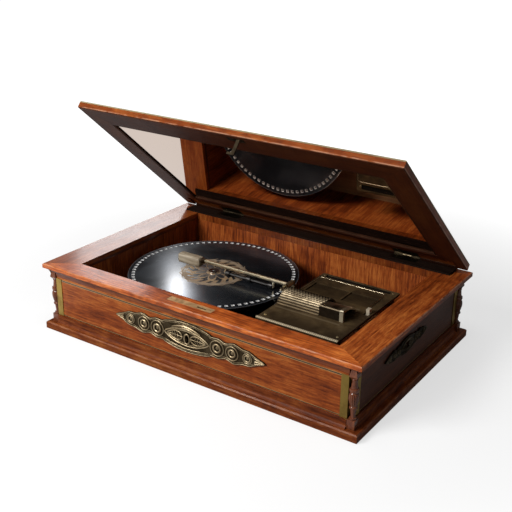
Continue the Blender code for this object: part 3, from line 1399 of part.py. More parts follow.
def make_plate():
    """The motor plate on its posts, with its cover, housing and mouth ring."""
    half = PLATE_WIDTH / 2
    plate = make("motor_plate", boxes((
        (PLATE_LEFT, -half, PLATE_BOTTOM),
        (PLATE_RIGHT, half, PLATE_TOP),
    )), "bronze")
    bead_z = PLATE_TOP - PLATE_BEAD_RADIUS / 2
    join(plate, lambda bm: add_rod(
        bm, (PLATE_LEFT, -half + PLATE_BEAD_RADIUS, bead_z), PLATE_RIGHT - PLATE_LEFT,
        PLATE_BEAD_RADIUS, "X", 12,
    ))
    stud_bottom = PLATE_BOTTOM - LEVER_THICKNESS - 3 * GAP - 1.0 * MM
    join(plate, lambda bm: add_rod(
        bm, (LEVER_PIVOT_X, LEVER_PIVOT_Y, stud_bottom), PLATE_BOTTOM - stud_bottom + 1.0 * MM,
        LEVER_STUD, "Z", 12,
    ))
    floor = PLATE_TOP - POCKET_DEPTH
    sky = PLATE_TOP + WALL
    cut(plate, boxes(
        ((POCKET_LEFT, POCKET_FRONT, floor), (POCKET_SPLIT - POCKET_WALL / 2, POCKET_BACK, sky)),
        ((POCKET_SPLIT + POCKET_WALL / 2, POCKET_FRONT, floor), (POCKET_RIGHT, POCKET_BACK, sky)),
        ((POCKET_LEFT, GROOVE_FRONT, floor), (POCKET_RIGHT, GROOVE_BACK, sky)),
    ))
    level = PLATE_SEAT - WINDING_Z
    opening = math.sqrt(COVER_INNER ** 2 - level ** 2) + GAP
    cut(plate, boxes((
        (COVER_LEFT + 2 * COVER_END, WINDING_Y - opening, PLATE_BOTTOM - WALL),
        (COVER_RIGHT - COVER_END, WINDING_Y + opening, sky),
    )))
    swing = (LEVER_LENGTH + LEVER_WIDTH) * math.sin(LEVER_SWING) + LEVER_TAB / 2
    swing += LEVER_NOTCH_MARGIN
    tab_x = LEVER_PIVOT_X + LEVER_LENGTH
    cut(plate, boxes((
        (tab_x - LEVER_WIDTH / 2 - 2 * LEVER_NOTCH_MARGIN, LEVER_PIVOT_Y - swing, PLATE_BOTTOM - WALL),
        (tab_x + LEVER_WIDTH / 2 + LEVER_NOTCH_MARGIN, LEVER_PIVOT_Y + swing, sky),
    )))

    def posts(bm):
        for x, y in post_places():
            length = PLATE_BOTTOM - WALL_BOTTOM + PLATE_THICKNESS / 4
            add_rod(bm, (x, y, WALL_BOTTOM), length, POST_RADIUS, "Z", 12)

    join(plate, posts)

    def cover(bm):
        angle = math.asin(level / COVER_INNER)
        outer_start = math.asin(level / COVER_RADIUS)
        count = 2 * COVER_RIBS
        outline = []
        for k in range(count + 1):
            share = k / count
            radius = COVER_VALLEY if k % 2 else COVER_RADIUS
            turn = outer_start + (math.pi - 2 * outer_start) * share
            outline.append((
                WINDING_Y + radius * math.cos(turn),
                max(PLATE_SEAT, WINDING_Z + radius * math.sin(turn)),
            ))
        inner = arc((WINDING_Y, WINDING_Z), COVER_INNER, angle, math.pi - angle, COVER_RIBS)
        outline += list(reversed(inner))
        add_prism(bm, outline, COVER_LEFT, COVER_RIGHT - COVER_LEFT, "X")

    def cover_end(bm):
        middle = (COVER_INNER + COVER_VALLEY) / 2
        angle = math.asin(level / middle)
        disc = arc((WINDING_Y, WINDING_Z), middle, angle, math.pi - angle, COVER_RIBS)
        add_prism(bm, disc, COVER_LEFT, COVER_END, "X")

    join(make("barrel_cover", cover, "brass"), cover_end)

    def hood(proud, wall, start, length):
        def build(bm):
            outline = lean_to(proud) + lean_to(proud - wall)[::-1]
            add_prism(bm, outline, start, length, "X")
        return build

    housing = make("arbor_housing", hood(
        0.0, HOUSING_WALL, HOUSING_LEFT, HOUSING_RIGHT - HOUSING_LEFT), "bronze")
    join(housing, hood(RING_PROUD, RING_WALL, HOUSING_RIGHT - GAP, RING_WIDTH))

    lever_top = PLATE_BOTTOM - GAP
    lever_bottom = lever_top - LEVER_THICKNESS
    pivot = (LEVER_PIVOT_X, LEVER_PIVOT_Y, lever_bottom)
    lever = make("start_lever", lambda bm: add_rod(
        bm, pivot, LEVER_THICKNESS, LEVER_BOSS, "Z", 12), "brass", origin=pivot)
    join(lever, boxes((
        (LEVER_PIVOT_X, LEVER_PIVOT_Y - LEVER_TAB / 2, lever_bottom),
        (tab_x + LEVER_WIDTH / 2, LEVER_PIVOT_Y + LEVER_TAB / 2, lever_top),
    )))
    join(lever, boxes((
        (tab_x - LEVER_WIDTH / 2, LEVER_PIVOT_Y - LEVER_TAB / 2, lever_bottom + GAP),
        (tab_x + LEVER_WIDTH / 2, LEVER_PIVOT_Y + LEVER_TAB / 2, LEVER_TOP),
    )))
    cut(lever, lambda bm: add_rod(
        bm, (LEVER_PIVOT_X, LEVER_PIVOT_Y, lever_bottom - WALL), 2 * WALL, LEVER_STUD + GAP, "Z", 12))


def pitch_radius(teeth):
    """A wheel's pitch radius."""
    return GEAR_MODULE * teeth / 2


def tooth_corners(centre, middle, foot, tip):
    """A tooth's four corners about its middle angle; foot and tip are (half angle, radius)."""
    corners = []
    for offset, radius in ((-foot[0], foot[1]), (-tip[0], tip[1]), tip, foot):
        angle = middle + offset
        corners.append((centre[0] + radius * math.cos(angle), centre[1] + radius * math.sin(angle)))
    return corners


def gear_outline(centre, teeth, toward):
    """A wheel's outline in the (y, z) plane, with a tooth's middle at an angle."""
    pitch = pitch_radius(teeth)
    tip = pitch + TOOTH_HEIGHT
    root = pitch - TOOTH_DEPTH
    half = TOOTH_FILL * math.pi / teeth
    points = []
    for k in range(teeth):
        middle = toward + 2 * math.pi * k / teeth
        points += tooth_corners(centre, middle, (1.35 * half, root), (0.62 * half, tip))
    return points


def meeting_axis(first, first_radius, second, second_radius):
    """The axis below two others that lies at a given distance from each."""
    apart = math.dist(first, second)
    along = (first_radius ** 2 - second_radius ** 2 + apart ** 2) / (2 * apart)
    side = math.sqrt(first_radius ** 2 - along ** 2)
    ux, uz = (second[0] - first[0]) / apart, (second[1] - first[1]) / apart
    middle = (first[0] + along * ux, first[1] + along * uz)
    return (middle[0] + side * uz, middle[1] - side * ux)


BARREL_AXIS = (WINDING_Y, WINDING_Z)
SPROCKET_AXIS = (0.0, SPROCKET_Z)
SECOND_AXIS = meeting_axis(
    BARREL_AXIS, pitch_radius(GREAT_WHEEL_TEETH) + pitch_radius(SECOND_PINION_TEETH),
    SPROCKET_AXIS, pitch_radius(SECOND_WHEEL_TEETH) + pitch_radius(SPROCKET_PINION_TEETH),
)


def direction(start, end):
    """The angle from one axis to another in the (y, z) plane."""
    return math.atan2(end[1] - start[1], end[0] - start[0])


def bearing_holes(shafts, plate_x):
    """A builder of the holes in one motor plate for ((y, z), radius) shafts."""

    def build(bm):
        for (y, z), radius in shafts:
            add_rod(bm, (plate_x - WALL, y, z), FRAME_PLATE + 2 * WALL, radius, "X", 12)

    return build


def make_frame():
    """The motor's two plates, the pillars between them and the governor's arms."""
    bottom = WALL_BOTTOM
    shafts = [
        (BARREL_AXIS, ARBOR_RADIUS + SHAFT_CLEARANCE),
        (SECOND_AXIS, SHAFT_RADIUS + SHAFT_CLEARANCE),
        (SPROCKET_AXIS, SHAFT_RADIUS + SHAFT_CLEARANCE),
    ]

    left = make("motor_frame_left", boxes((
        (FRAME_LEFT, FRAME_FRONT_Y, bottom),
        (FRAME_LEFT + FRAME_PLATE, FRAME_BACK_Y, FRAME_TOP),
    )), "steel")
    cut(left, bearing_holes(shafts, FRAME_LEFT))
    right = make("motor_frame_right", boxes((
        (FRAME_RIGHT, FRAME_FRONT_Y, bottom),
        (FRAME_RIGHT + FRAME_PLATE, FRAME_BACK_Y, FRAME_TOP),
    )), "steel")
    fly = fly_axis()
    arms = []
    for z in (FLY_SHAFT_BOTTOM + GAP, FLY_SHAFT_TOP - FLY_ARM_THICKNESS - GAP):
        arms.append((
            (fly[0] - FLY_ARM_HALF, fly[1] - FLY_ARM_HALF, z),
            (FRAME_RIGHT + FRAME_PLATE / 2, fly[1] + FLY_ARM_HALF, z + FLY_ARM_THICKNESS),
        ))
    join(right, boxes(*arms))
    pivot = click_pivot()
    join(right, lambda bm: add_rod(
        bm, (FRAME_RIGHT + FRAME_PLATE / 2, *pivot), FRAME_PLATE / 2 + RATCHET_THICKNESS + 1.0 * MM,
        CLICK_PIVOT_RADIUS, "X", 12,
    ))
    cut(right, bearing_holes(shafts[:2], FRAME_RIGHT))
    cut(right, lambda bm: add_rod(
        bm, (fly[0], fly[1], 0.0), CASE_HEIGHT, FLY_SHAFT + GAP, "Z", 12))

    def pillars(bm):
        start = FRAME_LEFT + FRAME_PLATE + GAP
        length = FRAME_RIGHT + FRAME_PLATE / 2 - start
        for y in (FRAME_FRONT_Y + PILLAR_INSET, FRAME_BACK_Y - PILLAR_INSET):
            for z in (PILLAR_LOW_Z, PILLAR_HIGH_Z):
                add_rod(bm, (start, y, z), length, PILLAR_RADIUS, "X", 12)

    join(right, pillars)


def fly_axis():
    """The x and y of the governor's upright shaft, beside the worm wheel."""
    x = WORM_WHEEL_X + WHEEL_THICKNESS / 2
    return (x, SECOND_AXIS[0] + pitch_radius(WORM_WHEEL_TEETH) + WORM_PITCH_RADIUS)


def click_pivot():
    """The y and z of the click's stud."""
    return (
        WINDING_Y + CLICK_PIVOT_DISTANCE * math.cos(CLICK_PIVOT_ANGLE),
        WINDING_Z + CLICK_PIVOT_DISTANCE * math.sin(CLICK_PIVOT_ANGLE),
    )


def spiral(centre, first, last):
    """Points along the mainspring's coils."""
    count = SPRING_TURNS * SPRING_TURN_POINTS
    points = []
    for k in range(count + 1):
        angle = 2 * math.pi * k / SPRING_TURN_POINTS
        radius = first + (last - first) * k / count
        points.append((centre[0] + radius * math.cos(angle), centre[1] + radius * math.sin(angle)))
    return points


def make_barrel():
    """The spring barrel with its great wheel, the mainspring in it, the arbor and the click."""
    to_second = direction(BARREL_AXIS, SECOND_AXIS)
    y, z = BARREL_AXIS
    origin = (GREAT_WHEEL_X, y, z)
    wheel_right = GREAT_WHEEL_X + WHEEL_THICKNESS
    barrel = make("spring_barrel", lambda bm: add_prism(
        bm, gear_outline(BARREL_AXIS, GREAT_WHEEL_TEETH, to_second), GREAT_WHEEL_X,
        WHEEL_THICKNESS, "X"), "brass", origin=origin)
    join(barrel, lambda bm: add_rod(
        bm, (wheel_right - GAP, y, z), DRUM_RIGHT - wheel_right + GAP, DRUM_RADIUS, "X", FINE_SEGMENTS))
    cut(barrel, lambda bm: add_rod(
        bm, (GREAT_WHEEL_X - WALL, y, z), DRUM_RIGHT - GREAT_WHEEL_X + 2 * WALL,
        ARBOR_RADIUS + SHAFT_CLEARANCE, "X", ROUND_SEGMENTS))
    cut(barrel, lambda bm: add_rod(
        bm, (wheel_right, y, z), DRUM_RIGHT - DRUM_WALL - wheel_right, DRUM_RADIUS - DRUM_WALL,
        "X", FINE_SEGMENTS))

    outer = DRUM_RADIUS - DRUM_WALL - SPRING_THICKNESS - GAP
    edges = []
    for inset in (0.0, SPRING_THICKNESS):
        edges.append(spiral(BARREL_AXIS, SPRING_INNER - inset, outer - inset))
    ribbon = edges[0] + edges[1][::-1]
    clear = 3 * GAP
    make("mainspring", lambda bm: add_prism(
        bm, ribbon, wheel_right + clear, DRUM_RIGHT - DRUM_WALL - wheel_right - 2 * clear, "X",
    ), "blued_steel", origin=origin)

    ratchet_x = FRAME_RIGHT + FRAME_PLATE + 2 * GAP
    teeth = []
    step = 2 * math.pi / RATCHET_TEETH
    for k in range(RATCHET_TEETH):
        steep = CLICK_TIP_ANGLE + 0.22 * step + k * step
        teeth.append((y + RATCHET_ROOT * math.cos(steep), z + RATCHET_ROOT * math.sin(steep)))
        lean = steep + 0.04 * step
        teeth.append((y + RATCHET_TIP * math.cos(lean), z + RATCHET_TIP * math.sin(lean)))
    left = FRAME_LEFT - 1.0 * MM
    arbor = make("winding_arbor", lambda bm: add_rod(
        bm, (left, y, z), ARBOR_RIGHT - 2 * WINDING_HOLE - left, ARBOR_RADIUS, "X", ROUND_SEGMENTS,
    ), "steel", origin=(ratchet_x, y, z))
    join(arbor, lambda bm: add_prism(bm, teeth, ratchet_x, RATCHET_THICKNESS, "X"))
    side = ARBOR_SQUARE / 2
    join(arbor, boxes((
        (ARBOR_RIGHT - 3 * WINDING_HOLE, y - side, z - side),
        (ARBOR_RIGHT, y + side, z + side),
    )))

    pivot = click_pivot()
    tip_radius = RATCHET_TIP + GAP
    tip = (y + tip_radius * math.cos(CLICK_TIP_ANGLE), z + tip_radius * math.sin(CLICK_TIP_ANGLE))
    along = direction(tip, pivot)
    across = (math.cos(along + math.pi / 2), math.sin(along + math.pi / 2))
    back = 0.8 * CLICK_BOSS
    blade = [tip, pivot, (pivot[0] + back * across[0], pivot[1] + back * across[1])]
    click = make("click", lambda bm: add_rod(
        bm, (ratchet_x, *pivot), RATCHET_THICKNESS - GAP, CLICK_BOSS, "X", 12),
        "steel", origin=(ratchet_x, *pivot))
    join(click, lambda bm: add_prism(bm, blade, ratchet_x, RATCHET_THICKNESS - GAP, "X"))
    cut(click, lambda bm: add_rod(
        bm, (ratchet_x - WALL, *pivot), 2 * WALL + RATCHET_THICKNESS, CLICK_PIVOT_RADIUS + GAP, "X", 12))


def make_train():
    """The second shaft, the disc's drive sprocket and the governor."""
    to_barrel = direction(SECOND_AXIS, BARREL_AXIS)
    to_sprocket = direction(SECOND_AXIS, SPROCKET_AXIS)
    y, z = SECOND_AXIS
    half_tooth = math.pi / SECOND_PINION_TEETH
    left = FRAME_LEFT - 1.0 * MM
    right = FRAME_RIGHT + FRAME_PLATE + 1.0 * MM
    shaft = make("second_shaft", lambda bm: add_rod(
        bm, (left, y, z), right - left, SHAFT_RADIUS, "X", 12), "steel",
        origin=(SECOND_WHEEL_X, y, z))
    pinion = gear_outline(SECOND_AXIS, SECOND_PINION_TEETH, to_barrel + half_tooth)
    join(shaft, lambda bm: add_prism(bm, pinion, GREAT_WHEEL_X, WHEEL_THICKNESS, "X"))
    wheel = gear_outline(SECOND_AXIS, SECOND_WHEEL_TEETH, to_sprocket)
    join(shaft, lambda bm: add_prism(bm, wheel, SECOND_WHEEL_X, WHEEL_THICKNESS, "X"))
    worm_wheel = gear_outline(SECOND_AXIS, WORM_WHEEL_TEETH, 0.0)
    join(shaft, lambda bm: add_prism(bm, worm_wheel, WORM_WHEEL_X, WHEEL_THICKNESS, "X"))

    y, z = SPROCKET_AXIS
    tooth_points = []
    foot = (math.asin(0.7 * SPROCKET_TOOTH / SPROCKET_ROOT), SPROCKET_ROOT)
    tip = (math.asin(0.4 * SPROCKET_TOOTH / SPROCKET_TIP), SPROCKET_TIP)
    for k in range(SPROCKET_TEETH):
        middle = math.pi / 2 + 2 * math.pi * k / SPROCKET_TEETH
        tooth_points += tooth_corners(SPROCKET_AXIS, middle, foot, tip)
    start = SPROCKET_X - SPROCKET_THICKNESS / 2
    sprocket = make("drive_sprocket", lambda bm: add_prism(
        bm, tooth_points, start, SPROCKET_THICKNESS, "X"), "steel", origin=(SPROCKET_X, y, z))
    end = SECOND_WHEEL_X + WHEEL_THICKNESS + GAP
    join(sprocket, lambda bm: add_rod(
        bm, (start - 1.0 * MM, y, z), end - start + 1.0 * MM, SHAFT_RADIUS, "X", 12))
    half_tooth = math.pi / SPROCKET_PINION_TEETH
    toward = direction(SPROCKET_AXIS, SECOND_AXIS) + half_tooth
    pinion = gear_outline(SPROCKET_AXIS, SPROCKET_PINION_TEETH, toward)
    join(sprocket, lambda bm: add_prism(bm, pinion, SECOND_WHEEL_X, WHEEL_THICKNESS, "X"))

    x, y = fly_axis()
    pitch = 2 * math.pi * pitch_radius(WORM_WHEEL_TEETH) / WORM_WHEEL_TEETH
    height = 2 * WORM_HALF_LENGTH
    bottom = SECOND_AXIS[1] - WORM_HALF_LENGTH

    def worm(bm):
        add_rod(bm, (x, y, bottom), height, WORM_CORE, "Z", 8)
        upright = [
            edge for edge in bm.edges
            if abs(edge.verts[0].co.z - edge.verts[1].co.z) > height / 2
        ]
        bmesh.ops.subdivide_edges(bm, edges=upright, cuts=WORM_LEVELS - 1, use_grid_fill=True)
        for vert in bm.verts:
            dx, dy = vert.co.x - x, vert.co.y - y
            if math.hypot(dx, dy) < WORM_CORE / 2:
                continue
            # The thread stands between two wheel teeth on the side that faces the wheel
            turn = math.atan2(dy, dx) + math.pi / 2
            share = ((vert.co.z - SECOND_AXIS[1]) / pitch - turn / (2 * math.pi) + 0.5) % 1.0
            lift = max(0.0, 1.0 - min(share, 1.0 - share) * 4.2)
            inside = bottom + GAP < vert.co.z < bottom + height - GAP
            radius = WORM_CORE + (WORM_TIP - WORM_CORE) * (lift if inside else 0.0)
            scale = radius / math.hypot(dx, dy)
            vert.co.x = x + dx * scale
            vert.co.y = y + dy * scale

    governor = make("governor", worm, "steel", origin=(x, y, SECOND_AXIS[1]))
    join(governor, lambda bm: add_rod(
        bm, (x, y, FLY_SHAFT_BOTTOM), FLY_SHAFT_TOP - FLY_SHAFT_BOTTOM, FLY_SHAFT, "Z", 10))
    join(governor, boxes((
        (x - FLY_RADIUS, y - FLY_BLADE / 2, FLY_BOTTOM),
        (x + FLY_RADIUS, y + FLY_BLADE / 2, FLY_BOTTOM + FLY_HEIGHT),
    )))


def main():
    """Build every part."""
    clear_scene()
    make_plinth()
    make_walls()
    make_rails()
    make_columns()
    make_corner_brasses()
    make_escutcheons()
    make_lock()
    make_fixed_hinges()
    make_lid()
    make_bed()
    make_disc()
    make_comb()
    make_pressure_bar()
    make_plate()
    make_frame()
    make_barrel()
    make_train()


main()
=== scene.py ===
"""Visual model of the table-top disc music box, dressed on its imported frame.

Every length is in metres, in the frame of the solids: +X right, +Y back, +Z up. New pieces sit where
the solids say and ride on the solids' bodies.
"""

from __future__ import annotations

import json
import logging
import math
from collections.abc import Callable, Iterable, Iterator, Sequence
from contextlib import contextmanager
from dataclasses import dataclass, field
from enum import Enum
from typing import Union

import bpy
from mathutils import Matrix, Vector


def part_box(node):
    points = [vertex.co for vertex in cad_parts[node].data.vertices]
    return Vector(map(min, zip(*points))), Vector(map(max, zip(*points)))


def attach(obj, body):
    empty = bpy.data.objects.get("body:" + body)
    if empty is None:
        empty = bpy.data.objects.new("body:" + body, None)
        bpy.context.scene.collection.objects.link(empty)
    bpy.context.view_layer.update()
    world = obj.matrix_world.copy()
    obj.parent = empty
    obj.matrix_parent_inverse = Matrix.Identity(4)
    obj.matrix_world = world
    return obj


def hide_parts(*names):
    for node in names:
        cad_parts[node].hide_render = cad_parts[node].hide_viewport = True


logging.basicConfig(level=logging.INFO, format="%(message)s")
log = logging.getLogger("music_box")

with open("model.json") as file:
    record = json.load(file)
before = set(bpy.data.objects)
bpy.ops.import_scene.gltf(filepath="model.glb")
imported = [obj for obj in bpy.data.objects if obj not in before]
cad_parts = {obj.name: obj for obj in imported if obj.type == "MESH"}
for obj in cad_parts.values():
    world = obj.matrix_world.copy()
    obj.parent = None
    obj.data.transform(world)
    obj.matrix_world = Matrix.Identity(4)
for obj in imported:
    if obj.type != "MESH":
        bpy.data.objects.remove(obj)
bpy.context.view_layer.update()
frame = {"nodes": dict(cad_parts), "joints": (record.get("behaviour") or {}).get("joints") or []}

MM = 0.001
Colour = tuple[float, float, float]
Point = tuple[float, float, float]
Number = Union[float, "Signal"]
Piece = bpy.types.Object
Material = bpy.types.Material

BLACK: Colour = (0.0, 0.0, 0.0)
WHITE: Colour = (1.0, 1.0, 1.0)
POLISHED_BRASS: tuple[Colour, Colour] = ((0.66, 0.56, 0.38), (0.34, 0.27, 0.16))

SIDES = ("left", "right")
LID_ANGLE = math.radians(40.57)
LID_HINGE = Vector(next(j for j in frame["joints"] if j["child"] == "lid")["pos_m"])


class Axis(Enum):
    """The three directions of the frame."""

    X = 0
    Y = 1
    Z = 2


# ---- shader maths


def operator(kind: str, swapped: bool = False) -> Callable[..., Signal]:
    """Make a method of Signal that adds one Math node.

    Args:
        kind: The node's operation.
        swapped: True for the reflected form, which has the signal on its right.

    Returns:
        The method.
    """

    def apply(self: Signal, *others: Number) -> Signal:
        """Add the node."""
        return self.graph.maths(kind, *((*others, self) if swapped else (self, *others)))

    return apply


class Signal:
    """A number that varies over a surface, with Python's arithmetic."""

    __add__, __radd__ = operator("ADD"), operator("ADD", True)
    __sub__, __rsub__ = operator("SUBTRACT"), operator("SUBTRACT", True)
    __mul__, __rmul__ = operator("MULTIPLY"), operator("MULTIPLY", True)
    __truediv__, __pow__, __abs__ = operator("DIVIDE"), operator("POWER"), operator("ABSOLUTE")
    sine, fraction = operator("SINE"), operator("FRACT")
    least, most, above = operator("MINIMUM"), operator("MAXIMUM"), operator("GREATER_THAN")

    def __init__(self, graph: Graph, socket: bpy.types.NodeSocket) -> None:
        """Wrap the output that carries the number."""
        self.graph = graph
        self.socket = socket

    def rising(self, low: float, high: float) -> Signal:
        """0 below low, 1 above high, and a smooth step between them.

        Args:
            low: Where the step starts.
            high: Where it ends.

        Returns:
            The step.
        """
        made = self.graph.node(
            "ShaderNodeMapRange",
            {"interpolation_type": "SMOOTHSTEP"},
            {"Value": self, "From Min": low, "From Max": high},
        )
        return Signal(self.graph, made.outputs[0])

    def past(self, edge: float, soft: float) -> Signal:
        """0 before an edge and 1 beyond it, with a soft step."""
        return self.rising(edge - soft, edge + soft)

    def within(self, low: float, high: float, soft: float) -> Signal:
        """1 between low and high, with soft edges."""
        return self.past(low, soft) * (1 - self.past(high, soft))


def distance(a: Signal, b: Signal) -> Signal:
    """The distance that two coordinates make."""
    return (a * a + b * b) ** 0.5


class Graph:
    """A node tree in the making."""

    def __init__(self, tree: bpy.types.NodeTree) -> None:
        """Work on a tree."""
        self.tree = tree

    def node(
        self, kind: str, settings: dict | None = None, inputs: dict | None = None
    ) -> bpy.types.Node:
        """Add one node.

        Args:
            kind: The node's type.
            settings: What is set on the node itself, first; stops are a ramp's (place, colour) pairs.
            inputs: Values or links of its sockets, by name or number.

        Returns:
            The node.
        """
        made = self.tree.nodes.new(kind)
        for key, value in (settings or {}).items():
            if key == "stops":
                ramp = made.color_ramp
                while len(ramp.elements) < len(value):
                    ramp.elements.new(0.5)
                for element, (place, colour) in zip(ramp.elements, value):
                    element.position = place
                    element.color = (*colour, 1.0)
            else:
                setattr(made, key, value)
        for key, value in (inputs or {}).items():
            self.feed(made.inputs[key], value)
        return made

    def feed(self, socket: bpy.types.NodeSocket, value: object) -> None:
        """Set or link a socket.

        Args:
            socket: The input.
            value: A signal, an output, a colour or a plain value.
        """
        if isinstance(value, Signal):
            self.tree.links.new(value.socket, socket)
        elif isinstance(value, bpy.types.NodeSocket):
            self.tree.links.new(value, socket)
        elif isinstance(value, tuple) and socket.type == "RGBA":
            socket.default_value = (*value, 1.0)
        else:
            socket.default_value = value

    def maths(self, operation: str, *values: Number) -> Signal:
        """Add a Math node."""
        made = self.node("ShaderNodeMath", {"operation": operation}, dict(enumerate(values)))
        return Signal(self, made.outputs[0])


class Recipe(Graph):
    """A material in the making."""

    def __init__(self, name: str, on_lid: bool = False) -> None:
        """Start a material.

        Args:
            name: The material's name.
            on_lid: True to read places as they are when the lid is shut.
        """
        self.material = bpy.data.materials.new(name)
        self.material.use_nodes = True
        super().__init__(self.material.node_tree)
        self.shader = self.tree.nodes["Principled BSDF"]
        self.on_lid = on_lid

    def place(self) -> tuple[Signal, Signal, Signal]:
        """The point's x, y and z in metres.

        Returns:
            The three coordinates.
        """
        vector = self.node("ShaderNodeTexCoord").outputs["Object"]
        if self.on_lid:
            turn = Matrix.Rotation(LID_ANGLE, 3, "X")
            shift = LID_HINGE - turn @ LID_HINGE
            vector = self.node(
                "ShaderNodeMapping",
                {"vector_type": "POINT"},
                {"Vector": vector, "Location": tuple(shift), "Rotation": (LID_ANGLE, 0.0, 0.0)},
            ).outputs[0]
        split = self.node("ShaderNodeSeparateXYZ", None, {0: vector})
        return tuple(Signal(self, split.outputs[k]) for k in range(3))

    def noise(
        self, x: Number, y: Number, z: Number, detail: float = 4.0,
        roughness: float = 0.55, distortion: float = 0.0,
    ) -> Signal:
        """Noise about 0.5 at a place that is already scaled.

        Args:
            x: The place along X, scaled.
            y: The place along Y, scaled.
            z: The place along Z, scaled.
            detail: The number of finer layers.
            roughness: How strong the finer layers are.
            distortion: How far the place is bent first.

        Returns:
            The noise.
        """
        vector = self.node("ShaderNodeCombineXYZ", None, {0: x, 1: y, 2: z}).outputs[0]
        made = self.node(
            "ShaderNodeTexNoise",
            {"noise_dimensions": "3D"},
            {"Vector": vector, "Scale": 1.0, "Detail": detail,
             "Roughness": roughness, "Distortion": distortion},
        )
        return Signal(self, made.outputs[0])

    def clouds(self, place: Sequence[Signal], scale: float, *shape: float) -> Signal:
        """Noise of one scale in all directions, with its detail, roughness and distortion."""
        return self.noise(*(p * scale for p in place), *shape)

    def tint(self, factor: Number, first: object, second: object, blend: str = "MIX") -> object:
        """Mix two colours by a factor.

        Args:
            factor: The share of the second colour.
            first: The colour at 0.
            second: The colour at 1.
            blend: The way of mixing.

        Returns:
            The mixed colour.
        """
        made = self.node(
            "ShaderNodeMix",
            {"data_type": "RGBA", "blend_type": blend},
            {0: factor, 6: first, 7: second},
        )
        return made.outputs[2]

    def ramp(self, signal: Signal, stops: Sequence[tuple[float, Colour]]) -> object:
        """A colour ramp over a signal."""
        return self.node("ShaderNodeValToRGB", {"stops": stops}, {0: signal}).outputs[0]

    def bump(self, height: Signal, strength: float, distance: float) -> object:
        """A normal from a height.

        Args:
            height: The relief.
            strength: How strongly it shows.
            distance: Its depth in metres.

        Returns:
            The normal.
        """
        return self.node(
            "ShaderNodeBump", None,
            {"Height": height, "Strength": strength, "Distance": distance},
        ).outputs[0]

    def done(self, inputs: dict[str, object]) -> None:
        """Feed the shader's sockets, by name."""
        for key, value in inputs.items():
            self.feed(self.shader.inputs[key], value)


@dataclass
class Coat:
    """A surface in the making: its point, its colour, its roughness and its relief."""

    recipe: Recipe
    place: Sequence[Signal]
    colour: object
    rough: Signal
    height: Signal

    def tint_coat(self, share: Number, colour: Colour) -> None:
        """Tint the surface by a share, for stains and wear as well as painted light and shade."""
        self.colour = self.recipe.tint(share, self.colour, colour)


# ---- finishes


@dataclass(frozen=True)
class Finish:
    """A named finish, which each kind of surface spells out."""

    name: str
    on_lid: bool = field(default=False, kw_only=True)

    def material(self) -> Material:
        """Make the material.

        Returns:
            The finished material.
        """
        recipe = Recipe(self.name, self.on_lid)
        self.spread(recipe, recipe.place())
        return recipe.material

    def spread(self, recipe: Recipe, place: Sequence[Signal]) -> None:
        """Feed the shader of a material in the making."""
        raise NotImplementedError


